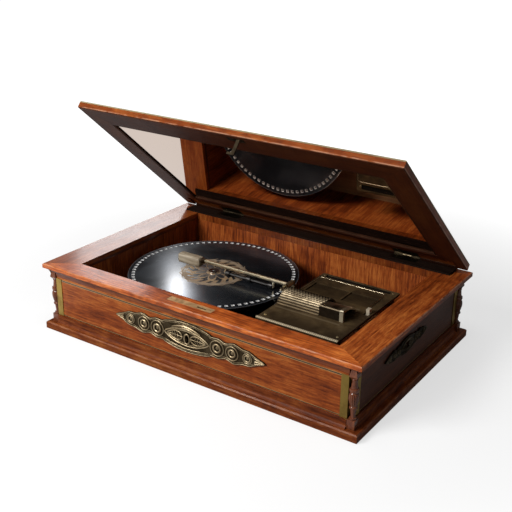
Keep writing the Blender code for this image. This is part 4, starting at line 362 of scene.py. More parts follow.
@dataclass(frozen=True)
class PolishedWood(Finish):
    """French-polished wood with grain, cross figure, pores, rubbed edges with painted highlight, and
    painted shade.
    """

    grain: Axis = Axis.X
    dark: Colour = (0.085, 0.0145, 0.0032)
    middle: Colour = (0.235, 0.048, 0.0082)
    light: Colour = (0.42, 0.122, 0.024)
    # Brightness factor for this piece's wood: pieces are painted lighter or darker with it, as painted
    # light and painted shade.
    shade: float = 1.0
    figure: float = 0.16
    streaks: float = 1.0
    roughness: float = 0.32
    specular: float = 0.22
    coat: float = 0.08
    cove_below: float | None = None
    underside: float | None = None
    arris: tuple[float, float, float] | None = None
    seed: float = 0.0

    def surface(self, recipe: Recipe, place: Sequence[Signal], grain: Axis) -> tuple[object, Signal]:
        """The wood's colour and relief for one grain direction.

        Args:
            recipe: The material in the making.
            place: The point.
            grain: The direction that the fibres run in.

        Returns:
            The colour and the height.
        """
        along = place[grain.value] + self.seed
        across = [place[k] for k in range(3) if k != grain.value]
        drift = recipe.noise(along * 3.2, across[0] * 7, across[1] * 7, 2.0) - 0.5
        u = across[0] + drift * 0.02
        v = across[1] + drift * 0.02
        band = recipe.noise(along * 2.6, u * 34, v * 34, 3.0, 0.5)
        streak = recipe.noise(along * 26, u * 340, v * 340, 5.0, 0.62)
        flame = recipe.noise(along * 30, u * 16, v * 16, 3.0, 0.5, 1.0)
        cloud = recipe.noise(along * 6, across[0] * 11, across[1] * 11, 3.0)
        tone = (
            0.5 + (band - 0.5) * 0.55 + (streak - 0.5) * (0.62 * self.streaks)
            + (flame - 0.5) * self.figure + (cloud - 0.5) * 0.15
        )
        stops = zip((0.27, 0.5, 0.75), (self.dark, self.middle, self.light))
        colour = recipe.ramp(tone, [
            (at, tuple(min(1.0, c * self.shade) for c in tone_colour)) for at, tone_colour in stops
        ])
        pores = recipe.noise(along * 110, u * 1500, v * 1500, 1.0).rising(0.58, 0.70)
        darker = tuple(0.35 * c for c in self.dark)
        colour = recipe.tint(pores * 0.55, colour, darker)
        return colour, streak * 0.5 - pores

    def spread(self, recipe: Recipe, place: Sequence[Signal]) -> None:
        """Lay the wood along its grain and polish it."""
        self.polish(recipe, place, *self.surface(recipe, place, self.grain))

    def polish(
        self, recipe: Recipe, place: Sequence[Signal], colour: object, height: Signal
    ) -> None:
        """Add the painted shade in the cove, the worn edges with their painted highlight, the darker
        underside, which is partly painted shade, and the polish.

        Args:
            recipe: The material in the making.
            place: The point.
            colour: The wood's colour.
            height: The wood's relief.
        """
        x, y, z = place
        rough = self.roughness + (recipe.clouds(place, 16, 3.0) - 0.5) * 0.16
        coat = Coat(recipe, place, colour, rough, height)
        gloss = self.coat
        if self.cove_below is not None:
            # Painted shade: the wood below the cove level is darkened where the cove lies in shade.
            coat.tint_coat((1 - z.past(self.cove_below, 0.6 * MM)) * 0.72, (0.055, 0.014, 0.007))
        if self.arris is not None:
            half_x, half_y, top = self.arris
            # Lightened along the arris in rubbed patches: partly real wear, partly painted highlight.
            wear_and_highlight = recipe.clouds(place, 60, 3.0).rising(0.34, 0.60)
            edge = (half_x - abs(x)).least(half_y - abs(y)) + abs(z - top)
            coat.tint_coat((1 - edge.rising(0.5 * MM, 2.1 * MM)) * wear_and_highlight * 0.6, (0.52, 0.27, 0.16))
        if self.underside is not None:
            # Darkened underside: partly a darker stain, partly painted shade.
            below = 1 - z.past(self.underside, 0.3 * MM)
            coat.tint_coat(below * 0.78, (0.014, 0.004, 0.002))
            coat.rough = coat.rough + below * 0.25
            gloss = gloss * (1 - below)
        recipe.done({
            "Base Color": coat.colour, "Roughness": coat.rough, "Coat Weight": gloss,
            "Coat Roughness": 0.14, "Specular IOR Level": self.specular,
            "Normal": recipe.bump(coat.height, 0.22, 0.0002),
        })


@dataclass(frozen=True)
class MitredWood(PolishedWood):
    """Polished wood on a mitred frame, whose fibres run along each rail."""

    half: float = 0.3
    front: float = -0.2
    rear: float = 0.2
    side_width: float = 0.04
    front_width: float = 0.04
    rear_width: float = 0.04

    def spread(self, recipe: Recipe, place: Sequence[Signal]) -> None:
        """Lay the wood along each rail, darken the mitres and polish it.

        Args:
            recipe: The material in the making.
            place: The point's x, y and z.
        """
        x, y, _ = place
        from_side = (self.half - abs(x)) / self.side_width
        from_end = ((y - self.front) / self.front_width).least((self.rear - y) / self.rear_width)
        on_side = from_end.above(from_side)
        long_way, height = self.surface(recipe, place, Axis.X)
        side_way, side_height = self.surface(recipe, place, Axis.Y)
        joint = 1 - abs(from_end - from_side).rising(0.004, 0.012)
        colour = recipe.tint(joint * 0.45, recipe.tint(on_side, long_way, side_way), self.dark)
        self.polish(recipe, place, colour, height + on_side * (side_height - height))


@dataclass(frozen=True)
class PiercedVeneer(PolishedWood):
    """Veneer behind the front plate, with painted shade where the plate is pierced."""

    level: float = 0.07
    openings: tuple[tuple[float, float], ...] = (
        (0.0, 0.0095), (0.05955, 0.0066), (0.08805, 0.0058), (0.11655, 0.005))

    def surface(self, recipe: Recipe, place: Sequence[Signal], grain: Axis) -> tuple[object, Signal]:
        """The wood's colour and relief, with painted shade inside the openings.

        Args:
            recipe: The material in the making.
            place: The point's x, y and z.
            grain: The direction that the fibres run in.

        Returns:
            The colour and the height.
        """
        colour, height = super().surface(recipe, place, grain)
        x, _, z = place
        # Painted shade: the wood behind each opening is darkened.
        for middle, radius in self.openings:
            away = distance(abs(x) - middle, z - self.level)
            colour = recipe.tint(1 - away.past(radius, 0.4 * MM), colour, (0.008, 0.005, 0.003))
        return colour, height


@dataclass(frozen=True)
class RawWood(Finish):
    """Plain sawn wood."""

    light: Colour = (0.42, 0.27, 0.14)
    dark: Colour = (0.24, 0.13, 0.06)

    def spread(self, recipe: Recipe, place: Sequence[Signal]) -> None:
        """Run the grain along X, under patches of dirt.

        Args:
            recipe: The material in the making.
            place: The point's x, y and z.
        """
        x, y, z = place
        grain = recipe.noise(x * 6, y * 160, z * 160, 5.0, 0.6)
        dirt = recipe.clouds(place, 12, 4.0).rising(0.45, 0.75)
        colour = recipe.ramp(grain, [(0.3, self.dark), (0.7, self.light)])
        recipe.done({
            "Base Color": recipe.tint(dirt * 0.5, colour, self.dark),
            "Roughness": 0.62 + (grain - 0.5) * 0.3, "Specular IOR Level": 0.3,
            "Normal": recipe.bump(grain, 0.3, 0.0004),
        })


@dataclass(frozen=True)
class AgedMetal(Finish):
    """Metal with a clouded patina, rubbed bright in places, and fine scratches."""

    bright: Colour
    dull: Colour
    polish: float = 0.28
    matte: float = 0.48
    patches: float = 42.0
    brushed: Axis | None = None
    clear: float = 0.5
    metallic: float = 1.0
    specular: float = 0.5

    def shaded(self, coat: Coat) -> None:
        """What a special piece adds; a plain one stays as it is."""

    def spread(self, recipe: Recipe, place: Sequence[Signal]) -> None:
        """Cloud the metal, scratch it and add what is special to the piece.

        Args:
            recipe: The material in the making.
            place: The point's x, y and z.
        """
        cloud = recipe.clouds(place, self.patches, 5.0, 0.62, 0.4)
        patina = cloud.rising(self.clear - 0.17, self.clear + 0.15)
        stretch = [2200.0, 2200.0, 2200.0]
        if self.brushed is not None:
            stretch[self.brushed.value] = 30.0
        fine = recipe.noise(*(p * scale for p, scale in zip(place, stretch)), 2.0)
        rough = self.matte + patina * (self.polish - self.matte) + (fine - 0.5) * 0.12
        colour = recipe.tint(patina, self.dull, self.bright)
        coat = Coat(recipe, place, colour, rough, cloud * 0.5 + fine * 0.12)
        coat.tint_coat((fine - 0.5) * 0.5, (0.02, 0.015, 0.01))
        self.shaded(coat)
        recipe.done({
            "Base Color": coat.colour, "Roughness": coat.rough, "Metallic": self.metallic,
            "Specular IOR Level": self.specular, "Normal": recipe.bump(coat.height, 0.25, 0.0003),
        })


@dataclass(frozen=True)
class RaisedBronze(AgedMetal):
    """Cast bronze, dark in its hollows and rubbed bright where it stands proud of its plate."""

    outward: Axis = Axis.Y
    sign: float = -1.0
    base: float = 194.1 * MM
    rise: float = 2.2 * MM
    hollow: Colour = (0.035, 0.024, 0.013)

    def shaded(self, coat: Coat) -> None:
        """Darken what lies low.

        Args:
            coat: The surface in the making.
        """
        proud = (coat.place[self.outward.value] * self.sign - self.base).rising(-0.6 * MM, self.rise)
        coat.tint_coat(1 - proud, self.hollow)
        coat.rough = coat.rough + (1 - proud) * 0.2


@dataclass(frozen=True)
class CollaredBrass(AgedMetal):
    """The pressure bar's brass, with its turned dark collar."""

    collar: tuple[float, float] = (-118.1 * MM, -110.9 * MM)

    def shaded(self, coat: Coat) -> None:
        """Stain the collar."""
        on_collar = coat.place[0].within(*self.collar, 0.2 * MM)
        coat.tint_coat(on_collar * 0.95, (0.035, 0.016, 0.008))


@dataclass(frozen=True)
class MotorPlateBronze(AgedMetal):
    """The motor plate: painted shade in its recesses and rear groove, darker patches at its front, and
    painted highlights round the cover and on the front bead.
    """

    floor: tuple[float, float] = (91.6 * MM, 92.9 * MM)
    groove: tuple[float, float] = (94.5 * MM, 105.8 * MM)
    recess: tuple[float, float] = (25.5 * MM, 65.5 * MM)
    cover_y: float = -22.5 * MM
    cover_x: tuple[float, float] = (75.0 * MM, 196.0 * MM)
    bead_y: tuple[float, float] = (-102.5 * MM, -101.5 * MM)
    bead_z: tuple[float, float] = (92.5 * MM, 93.5 * MM)
    bead_pitch: float = 3.4 * MM
    pit: Colour = (0.022, 0.013, 0.006)

    def shaded(self, coat: Coat) -> None:
        """Paint shade in the recesses and the rear groove, darken patches at the front, and paint
        highlights round the cover and on the front bead, with painted shade in the bead's notches.

        Args:
            coat: The surface in the making.
        """
        x, y, z = coat.place
        low = 1 - z.rising(*self.floor)
        groove = y.within(*self.groove, 0.3 * MM) * low
        pool = coat.recipe.noise(x * 17, y * 20, 3.0, 2.0, 0.4, 0.8)
        recess_shade_slope = ((x - 0.082) * 8).fraction() * 0.4 + (0.066 - y) * 9
        recess = y.within(*self.recess, 0.3 * MM) * low
        off_cover = abs(y - self.cover_y)
        cover_fillet_highlight = (1 - off_cover.rising(0.034, 0.0365)) * off_cover.rising(0.029, 0.033)
        front = (1 - y.rising(-0.098, -0.052)) * pool.rising(0.28, 0.52)
        # Painted shade in the two recesses, darkest towards their rear.
        coat.tint_coat(recess * (0.85 - recess_shade_slope * 0.55).most(0.0).least(1.0) * 0.9, self.pit)
        coat.tint_coat(front * 0.82, self.pit)
        # Painted highlight: a paler band round the foot of the barrel cover.
        coat.tint_coat(cover_fillet_highlight * x.within(*self.cover_x, 2 * MM) * 0.5, (0.20, 0.15, 0.09))
        # Painted highlight on the top of the front bead, and painted shade in notches that stand for a
        # twisted rope.
        bead = (1 - y.rising(*self.bead_y)) * z.rising(*self.bead_z)
        rope_shade = 1 - abs((x / self.bead_pitch).fraction() - 0.5).rising(0.10, 0.22)
        coat.tint_coat(bead * 0.85, (0.40, 0.33, 0.22))
        coat.tint_coat(bead * rope_shade * 0.6, (0.05, 0.035, 0.02))
        # Painted shade: the rear groove is tinted near black.
        coat.tint_coat(groove, (0.008, 0.006, 0.004))
        coat.rough = coat.rough + groove * 0.3 + pool * 0.1


@dataclass(frozen=True)
class RibbedBrass(AgedMetal):
    """The barrel cover: brass ribs with painted shade in the valleys and rows of punched dark cells on the
    top.
    """

    axis_y: float = -18.0 * MM
    axis_z: float = 74.0 * MM
    foot_z: float = 93.6 * MM
    ribs: int = 16
    valley: float = 34.9 * MM
    crest: float = 36.5 * MM
    cell_pitch: float = 5.4 * MM

    def shaded(self, coat: Coat) -> None:
        """Paint shade in the valleys and punch the cells.

        Args:
            coat: The surface in the making.
        """
        x, y, z = coat.place
        dy, dz = y - self.axis_y, z - self.axis_z
        low = 1 - distance(dy, dz).rising(self.valley, self.crest - 0.3 * MM)
        angle = coat.recipe.maths("ARCTAN2", dz, dy)
        start = math.asin((self.foot_z - self.axis_z) / self.crest)
        turn = (angle - start) / (math.pi - 2 * start) * self.ribs
        phase = abs(turn.fraction() - 0.5)
        step = (x / self.cell_pitch + (turn - turn.fraction()) * 0.5).fraction()
        cell = phase.above(0.16) * (1 - abs(step - 0.5).rising(0.24, 0.30))
        punched = cell * angle.within(0.85, 1.95, 0.04)
        # Painted shade: dark seams between the ribs and darker valleys.
        coat.tint_coat(phase.rising(0.14, 0.34) * 0.93, (0.018, 0.011, 0.006))
        coat.tint_coat(low * 0.6, (0.045, 0.028, 0.013))
        coat.tint_coat(punched * 0.9, (0.012, 0.008, 0.005))
        coat.rough = coat.rough + low * 0.15
        coat.height = coat.height - punched * 0.8


@dataclass(frozen=True)
class HousingBronze(AgedMetal):
    """The arbor housing: painted shade on its front, which leaves the roof paler, a dark spot on the roof
    and a bright ring round its mouth.
    """

    front: float = -43.8 * MM
    roof: float = 109.2 * MM
    ring: float = 189.6 * MM
    spot: tuple[float, float] = (176.0 * MM, -33.0 * MM)

    def shaded(self, coat: Coat) -> None:
        """Paint shade on the front, mark the roof with a dark spot and brighten the ring.

        Args:
            coat: The surface in the making.
        """
        x, y, z = coat.place
        # Painted shade on the housing's front face.
        front_shade = (1 - y.past(self.front, 0.3 * MM)) * (1 - z.rising(self.roof, self.roof + 1.2 * MM))
        coat.tint_coat(front_shade * 0.93, (0.016, 0.010, 0.006))
        away = distance((x - self.spot[0]) * 1.3, y - self.spot[1])
        on_spot = (1 - away.rising(0.005, 0.011)) * z.rising(0.100, 0.104)
        coat.tint_coat(on_spot * 0.8, (0.03, 0.02, 0.012))
        coat.tint_coat(x.past(self.ring, 0.2 * MM) * 0.85, (0.55, 0.48, 0.35))
        coat.rough = coat.rough + front_shade * 0.2


@dataclass(frozen=True)
class TuneDiscSteel(Finish):
    """The disc's dark blued steel with turning marks, scuffs and a worn gilt rosette."""

    name: str = "tune_disc_steel"
    centre_x: float = -92.0 * MM
    rosette: float = 61.5 * MM
    rim: tuple[float, float] = (150.8 * MM, 151.8 * MM)
    petals: int = 9

    def spread(self, recipe: Recipe, place: Sequence[Signal]) -> None:
        """Scuff the steel, gild its middle and paint a highlight along its rim.

        Args:
            recipe: The material in the making.
            place: The point's x, y and z.
        """
        x, y, _ = place
        dx = x - self.centre_x
        radius = distance(dx, y)
        angle = recipe.maths("ARCTAN2", y, dx)
        turned = recipe.noise(radius * 900, 0.0, 0.0, 3.0, 0.7)
        cloud = recipe.noise(dx * 9, y * 9, 1.0, 4.0, 0.5, 0.6)
        scuffs = recipe.noise((dx + y * 0.5) * 22, (y - dx * 0.5) * 420, 2.0, 2.0).rising(0.66, 0.72)
        hair = recipe.noise((dx * 0.4 - y) * 26, (dx + y * 0.4) * 520, 5.0, 2.0).rising(0.69, 0.73)
        steel = recipe.ramp(cloud, [
            (0.32, (0.020, 0.022, 0.026)), (0.52, (0.042, 0.048, 0.058)), (0.72, (0.085, 0.098, 0.118)),
        ])
        marks = (scuffs * 0.35 + hair * 0.3).least(1.0)
        steel = recipe.tint(marks, steel, (0.26, 0.27, 0.28))
        gilt, cover = self.gilding(recipe, dx, y, radius, angle)
        colour = recipe.tint(cover, steel, gilt)
        # Painted highlight along the disc's rim.
        colour = recipe.tint(radius.rising(*self.rim) * 0.6, colour, (0.42, 0.45, 0.50))
        rough = 0.08 + turned * 0.06 + cloud * 0.10 + cover * 0.25 + marks * 0.15
        relief = turned * 0.2 + cover * 0.6 + cloud
        recipe.done({
            "Base Color": colour, "Roughness": rough, "Metallic": 0.8 - cover * 0.5,
            "Specular IOR Level": 0.3, "Normal": recipe.bump(relief, 0.12, 0.0002),
        })

    def gilding(
        self, recipe: Recipe, dx: Signal, y: Signal, radius: Signal, angle: Signal
    ) -> tuple[object, Signal]:
        """A plain rosette: petals round the middle inside a scalloped band.

        Args:
            recipe: The material in the making.
            dx: The distance from the centre along X.
            y: The distance from the centre along Y.
            radius: The distance from the centre.
            angle: The direction from the centre.

        Returns:
            The gilding's colour and where it lies.
        """
        wave = abs((angle * (self.petals / 2)).sine())
        outer = radius / self.rosette
        petal = (0.34 + wave * 0.34 - outer).rising(-0.01, 0.02)
        vein = (0.24 + wave * 0.30 - outer).rising(-0.01, 0.02)
        core = (0.22 - outer).rising(-0.01, 0.02)
        scallop = abs((angle * self.petals).sine()) * 0.05
        band = outer.within(0.80, 0.93, 0.012)
        rim = (outer + scallop).within(0.975, 1.0, 0.008)
        leaf_wave = abs((angle * self.petals + outer * 9).sine())
        leaves = outer.within(0.62, 0.80, 0.01) * leaf_wave.above(0.62)
        shape = (petal - vein * 0.75 + core + band + rim + leaves).most(0.0).least(1.0)
        worn = recipe.noise(dx * 55, y * 55, 7.0, 4.0).rising(0.30, 0.52)
        tone = recipe.noise(dx * 30, y * 30, 4.0, 3.0)
        gilt = recipe.ramp(tone, [(0.3, (0.20, 0.115, 0.05)), (0.7, (0.46, 0.32, 0.18))])
        gilt = recipe.tint(band * 0.5, gilt, (0.26, 0.22, 0.17))
        return gilt, shape * worn


@dataclass(frozen=True)
class AgedMirror(Finish):
    """Silvered glass, slightly smoky, with specks and a foxed rim."""

    name: str = "aged_mirror"
    on_lid: bool = True

    def spread(self, recipe: Recipe, place: Sequence[Signal]) -> None:
        """Fox the silver at its rim and smear the glass.

        Args:
            recipe: The material in the making.
            place: The point's x, y and z.
        """
        x, y, z = place
        low, high = closed_box("lid_mirror")
        edge_x = (high.x - abs(x)).most(0.0)
        edge_y = (y - low.y).least(high.y - y)
        rim = 1 - edge_x.least(edge_y).rising(0.008, 0.020)
        mottle = recipe.clouds(place, 60, 5.0, 0.6)
        specks = recipe.clouds(place, 420, 2.0).rising(0.70, 0.76)
        fox = (rim * mottle.rising(0.35, 0.6) * 0.5 + specks * 0.5).least(1.0)
        smear = recipe.noise(x * 7, y * 18, z * 9, 3.0).rising(0.45, 0.8)
        recipe.done({
            "Base Color": recipe.tint(fox, (0.65, 0.515, 0.43), (0.12, 0.08, 0.05)),
            "Roughness": 0.012 + smear * 0.03 + fox * 0.3, "Metallic": 1.0,
        })


@dataclass(frozen=True)
class StringInlay(Finish):
    """A thin inlaid line of pale or dark wood."""

    colour: Colour
    shade: Colour

    def spread(self, recipe: Recipe, place: Sequence[Signal]) -> None:
        """Vary the line's colour along its fibres.

        Args:
            recipe: The material in the making.
            place: The point's x, y and z.
        """
        x, y, z = place
        grain = recipe.noise(x * 120, y * 120, z * 900, 3.0)
        recipe.done({
            "Base Color": recipe.tint(grain, self.colour, self.shade),
            "Roughness": 0.34 + (grain - 0.5) * 0.2, "Coat Weight": 0.3, "Coat Roughness": 0.15,
        })


@dataclass(frozen=True)
class TurnedHorn(Finish):
    """The bar handle's yellowed horn, with long fibres and painted shade on its underside."""

    name: str = "turned_horn"

    def spread(self, recipe: Recipe, place: Sequence[Signal]) -> None:
        """Run the fibres along X and paint shade on the underside.

        Args:
            recipe: The material in the making.
            place: The point's x, y and z.
        """
        x, y, z = place
        fibre = recipe.noise(x * 25, y * 520, z * 520, 3.0)
        cloud = recipe.noise(x * 40, y * 60, z * 60, 3.0)
        colour = recipe.ramp(fibre * 0.6 + cloud * 0.4, [
            (0.34, (0.17, 0.125, 0.08)), (0.5, (0.30, 0.245, 0.17)), (0.68, (0.48, 0.41, 0.30)),
        ])
        # Painted shade on the underside of the handle.
        underside_shade = 1 - z.rising(0.0975, 0.104)
        recipe.done({
            "Base Color": recipe.tint(underside_shade * 0.5, colour, (0.10, 0.07, 0.045)),
            "Roughness": 0.36 + (cloud - 0.5) * 0.2, "Specular IOR Level": 0.5,
            "Normal": recipe.bump(fibre, 0.2, 0.0002),
        })


def closed_box(node: str) -> tuple[Vector, Vector]:
    """The corners of a lid piece with the lid shut.

    Args:
        node: The piece's name.

    Returns:
        Its lowest and its highest corner.
    """
    turn = Matrix.Translation(LID_HINGE) @ Matrix.Rotation(LID_ANGLE, 4, "X")
    shut = turn @ Matrix.Translation(-LID_HINGE)
    places = [shut @ v.co for v in frame["nodes"][node].data.vertices]
    low = Vector(min(p[k] for p in places) for k in range(3))
    high = Vector(max(p[k] for p in places) for k in range(3))
    return low, high


# ---- modelling by hand


class Bench:
    """Blender's modelling tools, used as by hand."""

    @staticmethod
    def clear() -> None:
        """Go back to object mode and deselect everything."""
        if bpy.context.mode != "OBJECT":
            bpy.ops.object.mode_set(mode="OBJECT")
        bpy.ops.object.select_all(action="DESELECT")

    @classmethod
    def only(cls, *pieces: Piece) -> None:
        """Select these pieces alone, with the first one active.

        Args:
            *pieces: The pieces.
        """
        cls.clear()
        for piece in pieces:
            piece.select_set(True)
        bpy.context.view_layer.objects.active = pieces[0]

    @staticmethod
    def apply() -> None:
        """Put the selected pieces' place, turn and scale into their meshes."""
        bpy.ops.object.transform_apply(location=True, rotation=True, scale=True)

    @staticmethod
    @contextmanager
    def editing(select: str | None = "SELECT") -> Iterator[None]:
        """Work on the active piece in edit mode.

        Args:
            select: What becomes of its selection first, or None to keep it.

        Returns:
            A context that ends back in object mode.
        """
        bpy.ops.object.mode_set(mode="EDIT")
        if select is not None:
            bpy.ops.mesh.select_all(action=select)
        yield
        bpy.ops.object.mode_set(mode="OBJECT")

    @classmethod
    def block(cls, low: Sequence[float], high: Sequence[float], bevel: float = 0.0) -> Piece:
        """A block between two corners, with bevelled edges.

        Args:
            low: The lowest corner.
            high: The highest corner.
            bevel: The width of the bevel, or 0 for none.

        Returns:
            The new piece.
        """
        cls.clear()
        low, high = Vector(low), Vector(high)
        bpy.ops.mesh.primitive_cube_add(size=1.0, location=(low + high) / 2, scale=tuple(high - low))
        cls.apply()
        if bevel > 0:
            with cls.editing():
                bpy.ops.mesh.bevel(offset=bevel, segments=2, affect="EDGES")
        return bpy.context.object

    @classmethod
    def turned(
        cls, foot: Sequence[float], profile: Sequence[tuple[float, float]], segments: int = 48
    ) -> Piece:
        """A turned piece, drawn up from its foot circle by circle.

        Args:
            foot: The middle of the foot.
            profile: The (radius, height) of each circle, from the foot up.
            segments: The points round each circle.

        Returns:
            The new piece.
        """
        cls.clear()
        radius, level = profile[0]
        bpy.ops.mesh.primitive_circle_add(
            vertices=segments, radius=radius, fill_type="NGON",
            location=(foot[0], foot[1], foot[2] + level))
        cls.apply()
        with cls.editing():
            for wide, high in profile[1:]:
                bpy.ops.mesh.extrude_region_move(
                    TRANSFORM_OT_translate={"value": (0.0, 0.0, high - level)})
                middle = (foot[0], foot[1], foot[2] + high)
                if abs(wide - radius) > 1e-9:
                    share = wide / radius
                    bpy.ops.transform.resize(value=(share, share, 1.0), center_override=middle)
                radius, level = wide, high
        return bpy.context.object

    @classmethod
    def ring(
        cls, centre: Sequence[float], major: float, minor: float, sides: int = 8, count: int = 40
    ) -> Piece:
        """A round wire ring that lies flat.

        Args:
            centre: Its middle.
            major: The ring's radius.
            minor: The wire's radius.
            sides: The points round the wire.
            count: The points round the ring.

        Returns:
            The new piece.
        """
        cls.clear()
        bpy.ops.mesh.primitive_torus_add(
            major_radius=major, minor_radius=minor, major_segments=count, minor_segments=sides,
            location=tuple(centre))
        return bpy.context.object

    @classmethod
    def wire(
        cls, points: Iterable[Sequence[float]], radius: float, closed: bool = False,
        taper: Callable[[float], float] | None = None, sides: int = 2,
    ) -> Piece:
        """A round wire along a path.

        Args:
            points: The path's points.
            radius: The wire's radius.
            closed: True for a loop.
            taper: The radius share along the path, from 0 to 1.
            sides: The curve's bevel resolution.

        Returns:
            The new piece, a mesh.
        """
        cls.clear()
        path = [tuple(p) for p in points]
        curve = bpy.data.curves.new("wire", "CURVE")
        curve.dimensions = "3D"
        curve.bevel_depth = radius
        curve.bevel_resolution = sides
        curve.use_fill_caps = True
        spline = curve.splines.new("POLY")
        spline.points.add(len(path) - 1)
        for k, (point, place) in enumerate(zip(spline.points, path)):
            point.co = (*place, 1.0)
            point.radius = taper(k / (len(path) - 1)) if taper else 1.0
        spline.use_cyclic_u = closed
        piece = bpy.data.objects.new("wire", curve)
        bpy.context.scene.collection.objects.link(piece)
        cls.only(piece)
        bpy.ops.object.convert(target="MESH")
        return bpy.context.object

    @classmethod
    def copies(cls, piece: Piece, places: Iterable[Matrix]) -> list[Piece]:
        """Copies of a piece, each with its own mesh, moved by a matrix; the pattern is removed.

        Args:
            piece: The pattern.
            places: The matrix of each copy.

        Returns:
            The copies.
        """
        made = []
        for place in places:
            twin = piece.copy()
            twin.data = piece.data.copy()
            bpy.context.scene.collection.objects.link(twin)
            twin.data.transform(piece.matrix_world)
            twin.matrix_world = place
            made.append(twin)
        bpy.data.objects.remove(piece, do_unlink=True)
        return made

    @classmethod
    def joined(cls, pieces: Sequence[Piece]) -> Piece:
        """Join pieces into one.

        Args:
            pieces: The pieces, or a single one.

        Returns:
            The joined piece, with its place in its mesh.
        """
        for piece in pieces:
            cls.only(piece)
            cls.apply()
        cls.only(*pieces)
        if len(pieces) > 1:
            bpy.ops.object.join()
        return bpy.context.object

    @classmethod
    def settle(
        cls, pieces: Sequence[Piece], name: str, body: str, material: Material,
        angle: float = 40.0, place: Matrix | None = None,
    ) -> Piece:
        """Join pieces and finish the result: its place, normals, shading, name, material and body.

        Args:
            pieces: The pieces, or a single one.
            name: The name of the result.
            body: The body that it rides on.
            material: Its material.
            angle: Edges sharper than this many degrees stay sharp.
            place: Where it goes, if it was drawn somewhere else.

        Returns:
            The finished piece.
        """
        piece = cls.joined(pieces)
        if place is not None:
            piece.matrix_world = place @ piece.matrix_world
            cls.apply()
        with cls.editing():
            bpy.ops.mesh.normals_make_consistent(inside=False)
        bpy.ops.object.shade_smooth_by_angle(angle=math.radians(angle))
        piece.name = name
        piece.data.name = name
        piece.data.materials.clear()
        piece.data.materials.append(material)
        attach(piece, body)
        log.info("%s rides on %s, %d faces", name, body, len(piece.data.polygons))
        return piece


# ---- the object's sub-assemblies


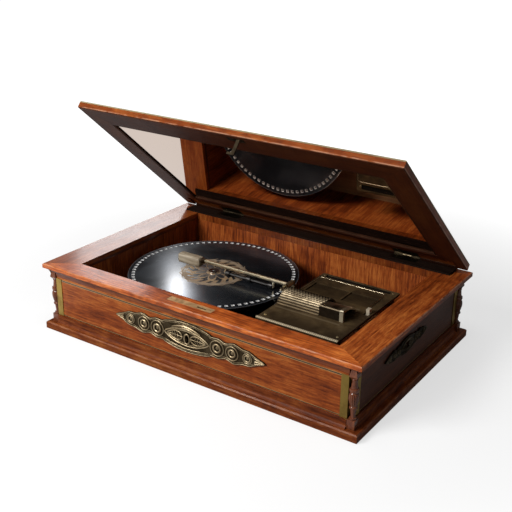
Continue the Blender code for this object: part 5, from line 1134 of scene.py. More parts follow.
@dataclass
class Carcase:
    """The case's own solids, the string inlay round its panels and the bead behind the lid."""

    line_low: float = 28.6 * MM
    line_high: float = 96.6 * MM
    line_thickness: float = 0.9 * MM
    line_sunk: float = 0.3 * MM
    line_proud: float = 0.12 * MM
    cove_level: float = 114.9 * MM
    rim_arris: float = 122.2 * MM
    plinth_arris: float = 12.5 * MM
    plinth_width: float = 17.0 * MM
    roll_radius: float = 2.9 * MM
    roll_spans: tuple[tuple[float, float], ...] = ((-0.284, -0.216), (-0.164, 0.164), (0.216, 0.284))

    def dress(self) -> None:
        """Give the case's solids their finishes."""
        # Painted shade: both outer side walls get much darker wood than the front and back walls.
        side = {"dark": (0.038, 0.010, 0.004), "middle": (0.085, 0.024, 0.009),
                "light": (0.15, 0.047, 0.017), "specular": 0.2, "roughness": 0.4}
        rim = {"cove_below": self.cove_level,
               "arris": (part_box("rim_front")[1].x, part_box("rim_rear")[1].y, self.rim_arris)}
        low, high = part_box("plinth")
        wide = self.plinth_width
        finishes = {
            "front_wall": PiercedVeneer("front_veneer", figure=0.3, streaks=1.5, specular=0.15, seed=1.3),
            "rear_wall": PolishedWood("rear_veneer", figure=0.4, specular=0.3, seed=4.1),
            "left_wall": PolishedWood("left_veneer", Axis.Y, **side, seed=2.2),
            "right_wall": PolishedWood("right_veneer", Axis.Y, **side, seed=5.7),
            # The shade factors below paint the front and right rims lighter and the rear rim and plinth
            # darker than the same wood elsewhere: painted light and painted shade.
            "well_lining": PolishedWood(
                "lining_wood", Axis.Z, shade=0.98, figure=0.3, streaks=1.9, roughness=0.45, coat=0.0,
                seed=7.7),
            "rim_front": PolishedWood(
                "rim_front_wood", **rim, shade=1.75, figure=0.5, streaks=1.7, coat=0.25,
                roughness=0.3, seed=0.4),
            "rim_rear": PolishedWood(
                "rim_rear_wood", Axis.Z, shade=0.6, streaks=1.7, coat=0.0, seed=3.9),
            "rim_left": PolishedWood(
                "rim_left_wood", Axis.Y, **rim, coat=0.35, roughness=0.34, seed=6.2),
            "rim_right": PolishedWood(
                "rim_right_wood", Axis.Y, **rim, shade=1.2, figure=0.4, streaks=1.8, roughness=0.36,
                seed=8.8),
            "plinth": MitredWood(
                "plinth_wood", half=high.x, front=low.y, rear=high.y, side_width=wide,
                front_width=wide, rear_width=wide, figure=0.4, streaks=1.6, roughness=0.45,
                specular=0.12, seed=2.9, arris=(high.x, high.y, self.plinth_arris), shade=0.62),
            "bottom_board": RawWood("bottom_pine"),
            # Near-black batten: painted shade in the dark band behind the lid.
            "hinge_batten": PolishedWood(
                "batten_wood", dark=(0.006, 0.003, 0.002), middle=(0.012, 0.006, 0.004),
                light=(0.024, 0.011, 0.007), roughness=0.7, specular=0.06, coat=0.0),
        }
        for node, finish in finishes.items():
            paint(node, finish)

    def inlay(self) -> None:
        """Let the pale and dark lines into the four sides."""
        pale = StringInlay("pale_string", (0.44, 0.29, 0.10), (0.26, 0.15, 0.05)).material()
        dark = StringInlay("dark_string", (0.022, 0.010, 0.006), (0.05, 0.022, 0.012)).material()
        thick = self.line_thickness
        rows = (
            (self.line_high, pale, 0.75), (self.line_high - 2.2 * thick, dark, 2.0),
            (self.line_high - 3.1 * thick, pale, 0.75), (self.line_low, dark, 1.5),
            (self.line_low + 1.6 * thick, pale, 0.55),
        )
        sides = (("front_wall", 1, -1), ("rear_wall", 1, 1), ("left_wall", 0, -1), ("right_wall", 0, 1))
        for number, (z, material, share) in enumerate(rows, 1):
            strips = []
            for node, axis, sign in sides:
                low, high = (list(corner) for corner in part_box(node))
                face = high[axis] if sign > 0 else low[axis]
                low[axis], high[axis] = sorted(
                    (face - sign * self.line_sunk, face + sign * self.line_proud))
                low[2], high[2] = z, z + share * thick
                strips.append(Bench.block(low, high))
            Bench.settle(strips, f"string_line_{number}", "case", material)

    def joint_roll(self) -> None:
        """The half-round bead that closes the joint behind the lid, between the hinges, near black as
        painted shade.
        """
        rows = [
            Bench.wire([(x, LID_HINGE.y, LID_HINGE.z) for x in span], self.roll_radius, sides=4)
            for span in self.roll_spans
        ]
        # Painted shade: the bead's wood is near black.
        wood = PolishedWood("joint_roll_wood", shade=0.05, roughness=0.7, specular=0.05, coat=0.0)
        roll = Bench.settle(rows, "lid_joint_roll", "case", wood.material())

    def build(self) -> None:
        """Dress the case, add the inlay and close the joint behind the lid."""
        self.dress()
        self.inlay()
        self.joint_roll()


@dataclass
class CornerColumns:
    """Four corner columns: square foot and head, and a turned, fluted shaft between them."""

    size: float = 13.0 * MM
    foot_top: float = 28.0 * MM
    head_bottom: float = 94.0 * MM
    head_block: float = 98.0 * MM
    head_top: float = 109.0 * MM
    bottom: float = 13.3 * MM
    flutes: int = 14

    def shaft_profile(self) -> list[tuple[float, float]]:
        """The turned shaft's (radius, height) circles, from its foot up.

        Returns:
            The circles.
        """
        rise = self.head_bottom - self.foot_top
        shares = [
            (0.27, 0.0), (0.42, 0.005), (0.44, 0.02), (0.42, 0.045), (0.29, 0.055), (0.27, 0.075),
            (0.29, 0.14), (0.33, 0.21), (0.365, 0.262), (0.40, 0.268), (0.48, 0.278), (0.50, 0.297),
            (0.48, 0.316), (0.42, 0.325), (0.40, 0.335), (0.43, 0.36), (0.50, 0.41), (0.56, 0.46),
            (0.61, 0.515), (0.62, 0.555), (0.60, 0.60), (0.55, 0.635), (0.48, 0.658), (0.44, 0.668),
            (0.45, 0.682), (0.53, 0.69), (0.56, 0.71), (0.56, 0.745), (0.53, 0.765), (0.42, 0.772),
            (0.39, 0.79), (0.36, 0.84), (0.33, 0.90), (0.31, 0.945), (0.34, 0.96), (0.36, 0.975),
            (0.34, 0.99), (0.31, 1.0),
        ]
        return [(share * self.size, self.foot_top + height * rise) for share, height in shares]

    def shaft(self) -> Piece:
        """The turned shaft on the origin, with flutes cut round its vase.

        Returns:
            The new piece.
        """
        count = 4 * self.flutes
        piece = Bench.turned((0.0, 0.0, 0.0), self.shaft_profile(), count)
        rise = self.head_bottom - self.foot_top
        low, high = self.foot_top + 0.35 * rise, self.foot_top + 0.65 * rise
        for vertex in piece.data.vertices:
            turn = math.atan2(vertex.co.y, vertex.co.x) / (2 * math.pi) * self.flutes
            vertex.select = low < vertex.co.z < high and round(4 * turn) % 4 == 0
        Bench.only(piece)
        bpy.context.tool_settings.mesh_select_mode = (True, False, False)
        with Bench.editing(None):
            bpy.ops.transform.resize(value=(0.88, 0.88, 1.0), center_override=(0.0, 0.0, 0.0))
        return piece

    def head(self) -> Piece:
        """The square head with its chamfer below, on the origin.

        Returns:
            The new piece.
        """
        half = self.size / 2
        block = Bench.block((-half, -half, self.head_bottom), (half, half, self.head_top))
        Bench.only(block)
        for vertex in block.data.vertices:
            vertex.select = vertex.co.z < self.head_block
        with Bench.editing(None):
            bpy.ops.transform.resize(
                value=(0.62, 0.62, 1.0), center_override=(0.0, 0.0, self.head_bottom))
            bpy.ops.mesh.select_all(action="SELECT")
            bpy.ops.mesh.bisect(plane_co=(0.0, 0.0, self.head_block), plane_no=(0.0, 0.0, 1.0))
        for vertex in block.data.vertices:
            if abs(vertex.co.z - self.head_block) < 0.1 * MM:
                vertex.co.x = math.copysign(half, vertex.co.x)
                vertex.co.y = math.copysign(half, vertex.co.y)
        return block

    def build(self) -> None:
        """Turn one column and set a copy in each corner."""
        wood = PolishedWood(
            "column_wood", Axis.Z, figure=0.1, roughness=0.22, coat=0.6, seed=3.3,
            dark=(0.045, 0.012, 0.006), middle=(0.13, 0.036, 0.015), light=(0.26, 0.09, 0.04),
        ).material()
        half = self.size / 2
        foot = Bench.block((-half, -half, self.bottom), (half, half, self.foot_top + 0.2 * MM), 0.5 * MM)
        column = Bench.joined([self.shaft(), self.head(), foot])
        names = [name for name in frame["nodes"] if name.startswith("column_")]
        places = []
        for name in names:
            low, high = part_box(name)
            # The solid's square blocks touch the inner sides of its box
            x = math.copysign(min(abs(low.x), abs(high.x)) + half, low.x)
            y = math.copysign(min(abs(low.y), abs(high.y)) + half, low.y)
            places.append(Matrix.Translation((x, y, 0.0)))
        for name, piece in zip(names, Bench.copies(column, places)):
            Bench.settle([piece], "turned_" + name, "case", wood, 32.0)
            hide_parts(name)


@dataclass
class Scrollwork:
    """The raised ornament of one pierced plate: edge rails, rings, an eye with two leaves and a hood."""

    name: str
    place: Matrix
    length: float
    height: float
    rings: int = 3
    eye_share: float = 0.3
    keyhole_x: float = 0.0
    boss: bool = True
    parts: list[Piece] = field(default_factory=list)

    @property
    def eye(self) -> float:
        """Half the length of the eye in the middle."""
        return self.eye_share * self.length / 2

    def cord(
        self, path: Sequence[Point], radius: float, closed: bool = False,
        taper: Callable[[float], float] | None = None,
    ) -> None:
        """Lay one cord along a path, with its radius in plate heights."""
        self.parts.append(Bench.wire(path, radius * self.height, closed, taper))

    def edge(self, x: float) -> float:
        """The plate's half height at a distance from its middle, as its solid has it.

        Args:
            x: The distance from the middle.

        Returns:
            The half height.
        """
        band = self.height * 0.31
        reach = self.length / 2
        taper = max(0.0, 1.0 - x / reach)
        body = band * min(1.0, 2.6 * taper ** 0.8)
        lobe = 0.0
        if x > self.eye:
            turn = (x - self.eye) / (reach - self.eye) * (self.rings + 0.4)
            lobe = 0.12 * band * math.sin(2 * math.pi * turn - math.pi / 2) * min(1.0, 3 * taper)
        crown = (self.height / 2 - band) * max(0.0, 1.0 - (x / (1.25 * self.eye)) ** 2)
        return max(0.0, body + lobe + crown)

    def rail(self, inset: float, radius: float) -> None:
        """Lay one cord along the plate's edge.

        Args:
            inset: How far inside the edge it runs, in plate heights.
            radius: The cord's radius, in plate heights.
        """
        inset = inset * self.height
        reach = self.length / 2 - 2 * inset
        steps = 56
        right = [(reach * k / steps, max(0.0, self.edge(reach * k / steps) - inset)) for k in range(steps)]
        path = right + [(reach, 0.0)] + [(x, -y) for x, y in reversed(right)]
        path += [(-x, -y) for x, y in right[1:]] + [(-reach, 0.0)]
        path += [(-x, y) for x, y in reversed(right[1:])]
        self.cord([(x, y, 0.35 * radius * self.height) for x, y in path], radius, closed=True)

    def chains(self) -> None:
        """The rings on both sides of the eye, each round a washer and a dome, and the rays at the ends."""
        pitch = 0.19 * self.length / 2
        for sign in (-1, 1):
            for k in range(self.rings):
                x = sign * (0.397 + 0.19 * k) * self.length / 2
                size = 1.0 - 0.10 * k
                rim = 0.019 * self.height
                room = min(0.485 * pitch, 0.86 * self.edge(abs(x))) * size
                self.parts.append(Bench.ring((x, 0.0, 0.6 * rim), room - rim, rim))
                washer = 0.034 * self.height * size
                self.parts.append(
                    Bench.ring((x, 0.0, 0.5 * washer), 0.125 * self.height * size, washer))
                profile = [(0.075, -0.02), (0.07, 0.0), (0.05, 0.012), (0.02, 0.018)]
                self.parts.append(Bench.turned(
                    (x, 0.0, 0.0), [(r * self.height * size, h * self.height) for r, h in profile], 16))
        for sign in (-1, 1):
            start = (0.397 + 0.19 * (self.rings - 0.5)) * self.length / 2
            end = self.length / 2 - 0.04 * self.height
            for flip in (-1, 0, 1):
                ray = [
                    (sign * (start + (end - start) * t / 8), flip * 0.085 * self.height * (1 - t / 8),
                     0.015 * self.height) for t in range(9)
                ]
                self.cord(ray, 0.026, taper=lambda t: 1.0 - 0.6 * t)

    def lens(self, long: float, tall: float, radius: float) -> None:
        """One pointed loop round the eye.

        Args:
            long: Half its length, as a share of the eye's.
            tall: Half its height, in plate heights.
            radius: Its cord's radius, in plate heights.
        """
        reach = long * self.eye
        path = []
        for sign in (1, -1):
            for k in range(28):
                x = sign * (1.0 - 2.0 * k / 28)
                y = sign * tall * self.height * (1.0 - x * x) ** 0.8
                path.append((reach * x, y, 0.5 * radius * self.height))
        self.cord(path, radius, closed=True)

    def leaves(self) -> None:
        """A pointed leaf with slanted veins on each side of the keyhole."""
        h = self.height
        root, tip = 0.17 * self.eye, 0.84 * self.eye
        span = tip - root

        def swell(share: float) -> float:
            """The leaf's width along its middle, from 0 to 1."""
            return math.sin(math.pi * share ** 0.75) ** 0.8

        for sign in (-1, 1):
            shares = [(flip, k / 14 if flip > 0 else 1.0 - k / 14) for flip in (1, -1) for k in range(14)]
            self.cord([
                (sign * (root + span * share), flip * 0.145 * h * swell(share), 0.018 * h)
                for flip, share in shares
            ], 0.020, closed=True)
            middle = [(sign * (root + span * t / 6), 0.0, 0.02 * h) for t in range(7)]
            self.cord(middle, 0.016, taper=lambda t: 1.0 - 0.5 * t)
            for share in (0.28, 0.44, 0.60, 0.76):
                wide = 0.13 * h * swell(min(1.0, share + 0.1))
                for flip in (-1, 1):
                    start = (sign * (root + span * share), 0.0, 0.018 * h)
                    end = (sign * (root + span * (share + 0.12)), flip * wide, 0.012 * h)
                    self.cord([start, end], 0.013)

    def bow(self, steps: int, half: float, middle: float, drop: float, rise: float) -> list[Point]:
        """The path of a bow across the eye.

        Args:
            steps: The number of its spans.
            half: Half its length, as a share of the eye's.
            middle: The height of its middle, in plate heights.
            drop: How far its ends lie below the middle, in plate heights.
            rise: How far it stands off the plate, in plate heights.

        Returns:
            The points.
        """
        shares = [-1.0 + 2.0 * k / steps for k in range(steps + 1)]
        h = self.height
        return [(s * half * self.eye, (middle - drop * s * s) * h, rise * h) for s in shares]

    def crown(self) -> None:
        """The thick hood above the keyhole, its lower lip and the line below the eye."""
        for half, middle, radius, rise in ((0.62, 0.385, 0.044, 0.045), (0.46, 0.315, 0.026, 0.03)):
            self.cord(
                self.bow(20, half, middle, 0.13, rise), radius,
                taper=lambda t: 0.35 + 0.65 * math.sin(math.pi * t))
        self.cord(
            self.bow(24, 0.95, -0.375, -0.11, 0.014), 0.022,
            taper=lambda t: 0.5 + 0.5 * math.sin(math.pi * t))

    def keyhole(self) -> None:
        """The raised oval round the keyhole."""
        h = self.height
        turns = [2 * math.pi * k / 36 for k in range(36)]
        self.cord([
            (self.keyhole_x + 0.10 * h * math.cos(turn), 0.165 * h * math.sin(turn) - 0.03 * h, 0.03 * h)
            for turn in turns
        ], 0.024, closed=True)

    def build(self, metal: Material) -> None:
        """Model every part flat, join them and set them on the plate.

        Args:
            metal: The ornament's material.
        """
        self.rail(0.024, 0.018)
        self.rail(0.075, 0.011)
        self.chains()
        self.lens(0.98, 0.27, 0.026)
        self.lens(0.88, 0.215, 0.014)
        self.leaves()
        self.crown()
        if self.boss:
            self.keyhole()
        piece = Bench.settle(self.parts, self.name, "case", metal, 60.0, self.place)


@dataclass
class Escutcheons:
    """The plates on the front and the right side, with their ornament."""

    keyhole_x: float = 1.5 * MM

    def build(self) -> None:
        """Dress both plates."""
        low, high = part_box("front_escutcheon")
        upright = Matrix.Rotation(math.pi / 2, 4, "X")
        front = Matrix.Translation((0.0, low.y, (low.z + high.z) / 2)) @ upright
        paint("front_escutcheon", AgedMetal(
            "front_plate_bronze", (0.135, 0.098, 0.054), (0.045, 0.031, 0.016), clear=0.55, matte=0.6))
        metal = RaisedBronze(
            "front_ornament_bronze", (0.56, 0.44, 0.27), (0.29, 0.215, 0.12), clear=0.45,
            polish=0.4, matte=0.58, base=-low.y)
        Scrollwork(
            "front_scrollwork", front, high.x - low.x, high.z - low.z, keyhole_x=self.keyhole_x,
        ).build(metal.material())

        low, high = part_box("side_escutcheon")
        side = Matrix.Translation((high.x, (low.y + high.y) / 2, (low.z + high.z) / 2))
        side = side @ Matrix.Rotation(math.pi / 2, 4, "Z") @ upright
        # The side plate and its ornament are much darker than the front ones: painted shade.
        paint("side_escutcheon", AgedMetal(
            "side_plate_bronze", (0.03, 0.021, 0.012), (0.012, 0.008, 0.005), clear=0.55, matte=0.6))
        metal = RaisedBronze(
            "side_ornament_bronze", (0.19, 0.15, 0.095), (0.06, 0.043, 0.024), polish=0.4,
            matte=0.6, outward=Axis.X, sign=1.0, base=high.x, rise=1.4 * MM)
        Scrollwork(
            "side_scrollwork", side, high.y - low.y, high.z - low.z, boss=False,
        ).build(metal.material())


@dataclass
class Lid:
    """The lid's own solids and the mirror's slip moulding."""

    side_rail: float = 44.2 * MM
    front_rail: float = 46.7 * MM
    rear_rail: float = 43.9 * MM
    slip_width: float = 3.0 * MM
    slip_inset: float = 8.3 * MM

    def build(self) -> None:
        """Dress the lid and hold the mirror."""
        low, high = closed_box("lid_frame")
        # The frame is painted a little darker, its underside darkened partly as painted shade, and its
        # lower front arris lightened as wear with a painted highlight.
        paint("lid_frame", MitredWood(
            "lid_frame_wood", on_lid=True, half=high.x, front=low.y, rear=high.y,
            side_width=self.side_rail, front_width=self.front_rail, rear_width=self.rear_rail,
            figure=0.35, roughness=0.3, coat=0.3, specular=0.1, seed=1.1, shade=0.85,
            underside=low.z + 1.2 * MM, arris=(high.x, -low.y, low.z + 1.5 * MM)))
        paint("lid_panel", PolishedWood(
            "lid_panel_wood", figure=0.8, on_lid=True, roughness=0.25, coat=0.3, seed=9.3))
        paint("lid_edge_bead", PolishedWood(
            "lid_bead_wood", dark=(0.16, 0.115, 0.055), middle=(0.26, 0.20, 0.105),
            light=(0.40, 0.33, 0.19), figure=0.1, on_lid=True, roughness=0.4, coat=0.1))
        paint("lid_mirror", AgedMirror())
        self.slips()

    def slips(self) -> None:
        """The dark slip moulding that holds the mirror in its rebate."""
        frame_low, _ = closed_box("lid_frame")
        low, high = closed_box("lid_mirror")
        x = high.x - self.slip_inset
        front, rear = low.y + self.slip_inset, high.y - self.slip_inset
        bottom, top = frame_low.z + 0.4 * MM, low.z - 0.05 * MM
        wide = self.slip_width
        bars = [
            ((-x, front, bottom), (x, front + wide, top)),
            ((-x, rear - wide, bottom), (x, rear, top)),
            ((-x, front + wide, bottom), (-x + wide, rear - wide, top)),
            ((x - wide, front + wide, bottom), (x, rear - wide, top)),
        ]
        wood = PolishedWood(
            "slip_wood", dark=(0.018, 0.008, 0.004), middle=(0.045, 0.018, 0.009),
            light=(0.085, 0.036, 0.017), on_lid=True, roughness=0.65, specular=0.05, coat=0.0)
        pieces = [Bench.block(a, b, 0.5 * MM) for a, b in bars]
        slip = Bench.settle(pieces, "mirror_slips", "lid", wood.material(), 40.0, open_lid())


def open_lid() -> Matrix:
    """The move from the shut lid to the lid at rest."""
    turn = Matrix.Translation(LID_HINGE) @ Matrix.Rotation(-LID_ANGLE, 4, "X")
    return turn @ Matrix.Translation(-LID_HINGE)


@dataclass
class DiscWork:
    """The tune disc with the turned-down lips of its drive slots, and what holds it."""

    slots: int = 80
    slot_circle: float = 143.0 * MM
    lip_outer: float = 5.42 * MM
    lip_wall: float = 0.32 * MM
    lip_depth: float = 3.0 * MM

    def lip(self, top: float) -> Piece:
        """One square lip at the first slot's radius, open through its middle.

        Args:
            top: The height of its upper rim.

        Returns:
            The new piece.
        """
        half = self.lip_outer / 2
        piece = Bench.block(
            (self.slot_circle - half, -half, top - self.lip_depth), (self.slot_circle + half, half, top))
        Bench.only(piece)
        bpy.ops.object.mode_set(mode="EDIT")
        bpy.ops.mesh.select_all(action="DESELECT")
        bpy.ops.object.mode_set(mode="OBJECT")
        for face in piece.data.polygons:
            face.select = abs(face.normal.z) > 0.9
        bpy.context.tool_settings.mesh_select_mode = (False, False, True)
        bpy.ops.object.mode_set(mode="EDIT")
        bpy.ops.mesh.inset(thickness=self.lip_wall, depth=0.0, use_individual=True)
        bpy.ops.mesh.bridge_edge_loops()
        bpy.ops.object.mode_set(mode="OBJECT")
        return piece

    def build(self) -> None:
        """Dress the disc and add the lips."""
        paint("disc", TuneDiscSteel())
        paint("disc_hub", AgedMetal(
            "hub_nickel", (0.72, 0.71, 0.68), (0.45, 0.44, 0.42), polish=0.22, matte=0.36, clear=0.35))
        low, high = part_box("disc")
        centre = Vector(((low.x + high.x) / 2, (low.y + high.y) / 2, 0.0))
        lip = self.lip(high.z + 0.15 * MM)
        places = [
            Matrix.Translation(centre) @ Matrix.Rotation(2 * math.pi * k / self.slots, 4, "Z")
            for k in range(self.slots)
        ]
        tin = AgedMetal(
            "slot_tin", (0.82, 0.82, 0.81), (0.62, 0.62, 0.61), polish=0.5, matte=0.62, clear=0.3,
            metallic=0.15, patches=90)
        lips = Bench.settle(Bench.copies(lip, places), "slot_lips", "disc", tin.material(), 30.0)


@dataclass
class PressureBar:
    """The bar over the disc, its handle, bracket and rollers."""

    def build(self) -> None:
        """Dress the bar's solids."""
        paint("pressure_bar", CollaredBrass("bar_brass", *POLISHED_BRASS, clear=0.40, brushed=Axis.X))
        paint("bar_handle", TurnedHorn())
        # The rollers are near black: painted shade under the bar.
        paint("bar_rollers", AgedMetal(
            "roller_steel", (0.055, 0.052, 0.05), (0.03, 0.028, 0.027), polish=0.4))
        paint("bar_bracket", AgedMetal("bracket_brass", (0.42, 0.34, 0.21), (0.17, 0.125, 0.07)))
        paint("bar_pin", AgedMetal("pin_brass", *POLISHED_BRASS))


@dataclass
class Movement:
    """Bed, comb, wheels, motor plate and covers."""

    bead: float = 0.55 * MM
    bead_below: float = 1.6 * MM
    bead_corner: float = 5.0 * MM
    bead_right: float = 17.0 * MM
    bead_rear: float = 18.5 * MM
    bead_left: float = 3.0 * MM

    def dress(self) -> None:
        """Give the movement's solids their finishes."""
        steel = AgedMetal("bright_steel", (0.52, 0.52, 0.51), (0.27, 0.26, 0.25), brushed=Axis.X)
        brass = AgedMetal("wheel_brass", (0.62, 0.48, 0.24), (0.32, 0.235, 0.11))
        iron = AgedMetal("bed_iron", (0.13, 0.105, 0.075), (0.05, 0.04, 0.03), polish=0.5, matte=0.7)
        blue = AgedMetal("spring_steel", (0.09, 0.10, 0.13), (0.04, 0.045, 0.06), polish=0.25, matte=0.4)
        # Near-black brass for the catch and hinge leaves: painted shade, so they stay dark.
        shade_black = AgedMetal("blackened_brass", (0.060, 0.045, 0.026), (0.020, 0.014, 0.009), matte=0.6)
        leaves = [f"hinge_{kind}_leaf_{side}" for kind in ("fixed", "moving") for side in SIDES]
        for finish, nodes in (
            (steel, ("spindle", "star_wheel_bridge", "comb", "drive_sprocket", "second_shaft",
                     "governor", "winding_arbor", "click", "motor_frame_left", "motor_frame_right")),
            (brass, ("star_wheels", "spring_barrel", "lock_bolt")),
            (shade_black, ("lid_catch", *leaves)),
            (iron, ("bedplate", "comb_base", "lock_case")),
            (blue, ("mainspring",)),
        ):
            for node in nodes:
                paint(node, finish)
        paint("motor_plate", MotorPlateBronze(
            "motor_plate_bronze", (0.095, 0.062, 0.028), (0.036, 0.022, 0.010), patches=24,
            polish=0.46, matte=0.62, metallic=0.3, specular=0.12))
        paint("barrel_cover", RibbedBrass(
            "ribbed_cover_brass", (0.68, 0.55, 0.36), (0.38, 0.29, 0.18), clear=0.42, polish=0.42,
            matte=0.56))
        paint("arbor_housing", HousingBronze(
            "housing_bronze", (0.26, 0.20, 0.13), (0.13, 0.10, 0.062), patches=90, polish=0.4))
        paint("start_lever", AgedMetal(
            "lever_brass", (0.70, 0.60, 0.44), (0.48, 0.39, 0.25), clear=0.3, metallic=0.4))
        paint("lock_plate", AgedMetal(
            "lock_plate_brass", (0.72, 0.46, 0.22), (0.34, 0.19, 0.085), clear=0.45, brushed=Axis.X,
            metallic=0.4))
        for node in (f"corner_brass_{end}_{side}" for end in ("front", "rear") for side in SIDES):
            paint(node, AgedMetal(
                "strip_" + node, (0.42, 0.285, 0.075), (0.25, 0.16, 0.042), polish=0.34, matte=0.5,
                clear=0.42, brushed=Axis.Z))

    def plate_lines(self) -> None:
        """The thin raised bead that frames the motor plate's rear and right."""
        low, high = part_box("motor_plate")
        top = high.z - self.bead_below
        corner = self.bead_corner
        right, rear = high.x - self.bead_right, high.y - self.bead_rear
        left = low.x + self.bead_left
        path = [(right, 0.030, top), (right, rear - corner, top)]
        for k in range(1, 7):
            turn = math.pi / 2 * k / 6
            path.append((
                right - corner + corner * math.cos(turn), rear - corner + corner * math.sin(turn), top))
        path += [(left + corner, rear, top), (left, rear - 0.4 * corner, top), (left, 0.021, top)]
        metal = AgedMetal("bead_bronze", (0.52, 0.43, 0.29), (0.30, 0.24, 0.15), clear=0.38)
        wire = Bench.wire(path, self.bead)
        bead = Bench.settle([wire], "motor_plate_bead", "case", metal.material(), 60.0)

    def build(self) -> None:
        """Dress the movement."""
        self.dress()
        self.plate_lines()


@dataclass
class Screws:
    """Slotted screws in the lock plate, the motor plate and the hinges."""

    radius: float = 2.4 * MM
    height: float = 0.7 * MM
    lock_sunk: float = 0.38 * MM
    plate_sunk: float = 1.6 * MM
    leaf_seat: float = 1.25 * MM

    def pattern(self) -> Piece:
        """One domed, slotted head on the origin.

        Returns:
            The new piece.
        """
        profile = [
            (self.radius, -0.6 * MM), (self.radius, 0.25 * self.height),
            (0.92 * self.radius, 0.6 * self.height), (0.70 * self.radius, 0.88 * self.height),
            (0.35 * self.radius, self.height),
        ]
        head = Bench.turned((0.0, 0.0, 0.0), profile, 20)
        reach = 1.2 * self.radius
        half = 0.16 * self.radius
        blade = Bench.block((-reach, -half, 0.35 * self.height), (reach, half, 2 * self.height))
        Bench.only(head)
        slot = head.modifiers.new("slot", "BOOLEAN")
        slot.operation = "DIFFERENCE"
        slot.object = blade
        slot.solver = "EXACT"
        bpy.ops.object.modifier_apply(modifier="slot")
        bpy.data.objects.remove(blade, do_unlink=True)
        return head

    def build(self) -> None:
        """Set the screws."""
        spots = []
        low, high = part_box("lock_plate")
        for x in (low.x + 5 * MM, high.x - 5 * MM):
            spots.append(((x, (low.y + high.y) / 2, high.z - self.lock_sunk), 0.7, 0.5))
        low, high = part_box("motor_plate")
        for x in (low.x + 8 * MM, high.x - 8 * MM):
            for y in (low.y + 16 * MM, high.y - 9 * MM):
                spots.append(((x, y, high.z - self.plate_sunk), 1.0, x * 9 + y * 7))
        for side in SIDES:
            low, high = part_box("hinge_fixed_leaf_" + side)
            for share in (0.12, 0.5, 0.88):
                x = low.x + share * (high.x - low.x)
                spots.append(((x, low.y + 6 * MM, low.z + self.leaf_seat), 0.9, 20 * share))
        places = [
            Matrix.Translation(place) @ Matrix.Rotation(turn, 4, "Z") @ Matrix.Scale(size, 4)
            for place, size, turn in spots
        ]
        metal = AgedMetal("screw_brass", (0.55, 0.45, 0.27), (0.28, 0.21, 0.12)).material()
        heads = Bench.copies(self.pattern(), places)
        screws = Bench.settle(heads, "slotted_screws", "case", metal, 35.0)


def paint(node: str, finish: Finish) -> None:
    """Give a solid its finish.

    Args:
        node: The solid's name.
        finish: The finish that it gets.
    """
    data = frame["nodes"][node].data
    data.materials.clear()
    data.materials.append(finish.material())


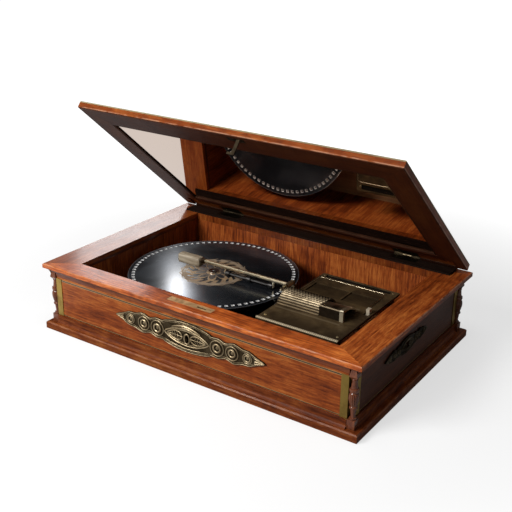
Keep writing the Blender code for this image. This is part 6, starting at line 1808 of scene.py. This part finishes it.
@dataclass
class Studio:
    """The floor, the light and the camera."""

    floor_size: float = 24.0
    floor_drop: float = 0.4 * MM
    reflected_patch_glow: float = 0.6
    fill: float = 0.13
    focal_pixels: float = 879.66
    picture_pixels: float = 512.0
    sensor_width: float = 36.0
    viewpoint: Point = (0.7773, -1.1534, 0.7169)
    yaw: float = 34.027
    pitch: float = 22.368
    roll: float = 0.739

    def floor(self) -> None:
        """A plain pale floor that keeps the object's shadow, with a patch that glows only in reflections
        as a painted reflection.
        """
        Bench.clear()
        bpy.ops.mesh.primitive_plane_add(size=self.floor_size, location=(0.0, 0.0, -self.floor_drop))
        floor = bpy.context.object
        floor.name = "studio_floor"
        recipe = Recipe("floor_white")
        x, y, _ = recipe.place()
        path = recipe.node("ShaderNodeLightPath").outputs
        seen = Signal(recipe, path["Is Camera Ray"])
        mirrored = Signal(recipe, path["Is Glossy Ray"])
        near_white = 0.62 + 0.45 * distance(x, y).rising(0.45, 1.3)
        # Painted reflection: a patch of floor that glows only to glossy rays, for the mirror.
        reflected_patch = x.within(-1.5, -0.335, 0.01) * y.within(-0.5, 1.2, 0.02)
        glow = seen * near_white + mirrored * reflected_patch * self.reflected_patch_glow
        recipe.done({
            "Emission Color": recipe.tint(glow, BLACK, WHITE), "Emission Strength": 1.0,
            "Base Color": (0.36, 0.36, 0.36), "Roughness": 0.95, "Specular IOR Level": 0.0,
        })
        floor.data.materials.append(recipe.material)

    def world(self) -> None:
        """White to the camera, and a low even light on everything else."""
        world = bpy.data.worlds.new("studio_white")
        bpy.context.scene.world = world
        world.use_nodes = True
        graph = Graph(world.node_tree)
        graph.tree.nodes.clear()
        path = graph.node("ShaderNodeLightPath").outputs
        seen = graph.node(
            "ShaderNodeMath", {"operation": "MAXIMUM"},
            {0: path["Is Camera Ray"], 1: path["Is Transmission Ray"]}).outputs[0]
        soft, white = (
            graph.node("ShaderNodeBackground", None, {0: WHITE, 1: power}).outputs[0]
            for power in (self.fill, 1.0))
        mix = graph.node("ShaderNodeMixShader", None, {0: seen, 1: soft, 2: white}).outputs[0]
        graph.node("ShaderNodeOutputWorld", None, {0: mix})

    def lamp(
        self, name: str, place: Point, aim: Point, size: tuple[float, float], power: float
    ) -> Piece:
        """One soft rectangular lamp.

        Args:
            name: The lamp's name.
            place: Where it stands.
            aim: What it points at.
            size: Its width and height.
            power: Its power in watts.

        Returns:
            The lamp.
        """
        data = bpy.data.lights.new(name, "AREA")
        data.shape = "RECTANGLE"
        data.size, data.size_y = size
        data.energy = power
        lamp = bpy.data.objects.new(name, data)
        lamp.location = place
        lamp.rotation_euler = (Vector(aim) - Vector(place)).to_track_quat("-Z", "Y").to_euler()
        bpy.context.scene.collection.objects.link(lamp)
        return lamp

    @staticmethod
    def gathered(name: str, *nodes: str) -> bpy.types.Collection:
        """A collection of solids for a lamp's light linking.

        Args:
            name: The collection's name.
            *nodes: The solids' names.

        Returns:
            The collection.
        """
        made = bpy.data.collections.new(name)
        for node in nodes:
            made.objects.link(frame["nodes"][node])
        return made

    def sheen(self) -> None:
        """A low lamp for the polished rims, and a small one for the glint on the disc."""
        low = self.lamp("rim_lamp", (-1.75, 1.68, 1.02), (-0.2, 0.0, 0.1), (0.62, 0.34), 5.0)
        low.light_linking.receiver_collection = self.gathered(
            "rims_in_the_low_light", "rim_left", "rim_front", "left_wall")
        spark = self.lamp("disc_lamp", (-1.431, 1.512, 1.047), (-0.1, -0.1, 0.09), (0.06, 0.03), 0.85)
        spark.light_linking.receiver_collection = self.gathered("disc_in_the_low_light", "disc")
        spark.light_linking.blocker_collection = self.gathered("outside_the_mirrors_glint", "plinth")

    def camera(self) -> None:
        """The photograph's camera."""
        yaw, pitch, roll = (math.radians(v) for v in (self.yaw, self.pitch, self.roll))
        forward = Vector((
            -math.sin(yaw) * math.cos(pitch), math.cos(yaw) * math.cos(pitch), -math.sin(pitch)))
        right = Vector((math.cos(yaw), math.sin(yaw), 0.0))
        up = right.cross(forward)
        level = right * math.cos(roll) + up * math.sin(roll)
        upright = up * math.cos(roll) - right * math.sin(roll)
        data = bpy.data.cameras.new("camera")
        data.sensor_width = self.sensor_width
        data.lens = self.focal_pixels / self.picture_pixels * self.sensor_width
        camera = bpy.data.objects.new("camera", data)
        turn = Matrix((level, upright, -forward)).transposed()
        camera.matrix_world = Matrix.Translation(self.viewpoint) @ turn.to_4x4()
        bpy.context.scene.collection.objects.link(camera)
        bpy.context.scene.camera = camera

    def build(self) -> None:
        """Set up the studio."""
        self.floor()
        self.world()
        self.lamp("key_lamp", (-0.8, -1.9, 1.5), (0.0, 0.0, 0.08), (1.1, 0.8), 66.0)
        self.lamp("top_lamp", (0.15, -0.35, 2.2), (0.0, 0.0, 0.1), (1.2, 0.9), 12.0)
        self.sheen()
        self.camera()
        bpy.context.scene.view_settings.view_transform = "Standard"


def main() -> None:
    """Build and dress the whole music box."""
    Studio().build()
    for assembly in (
        Carcase(), CornerColumns(), Escutcheons(), Lid(), DiscWork(), PressureBar(), Movement(), Screws(),
    ):
        assembly.build()
        log.info("%s done", type(assembly).__name__)


if __name__ == "__main__":
    main()
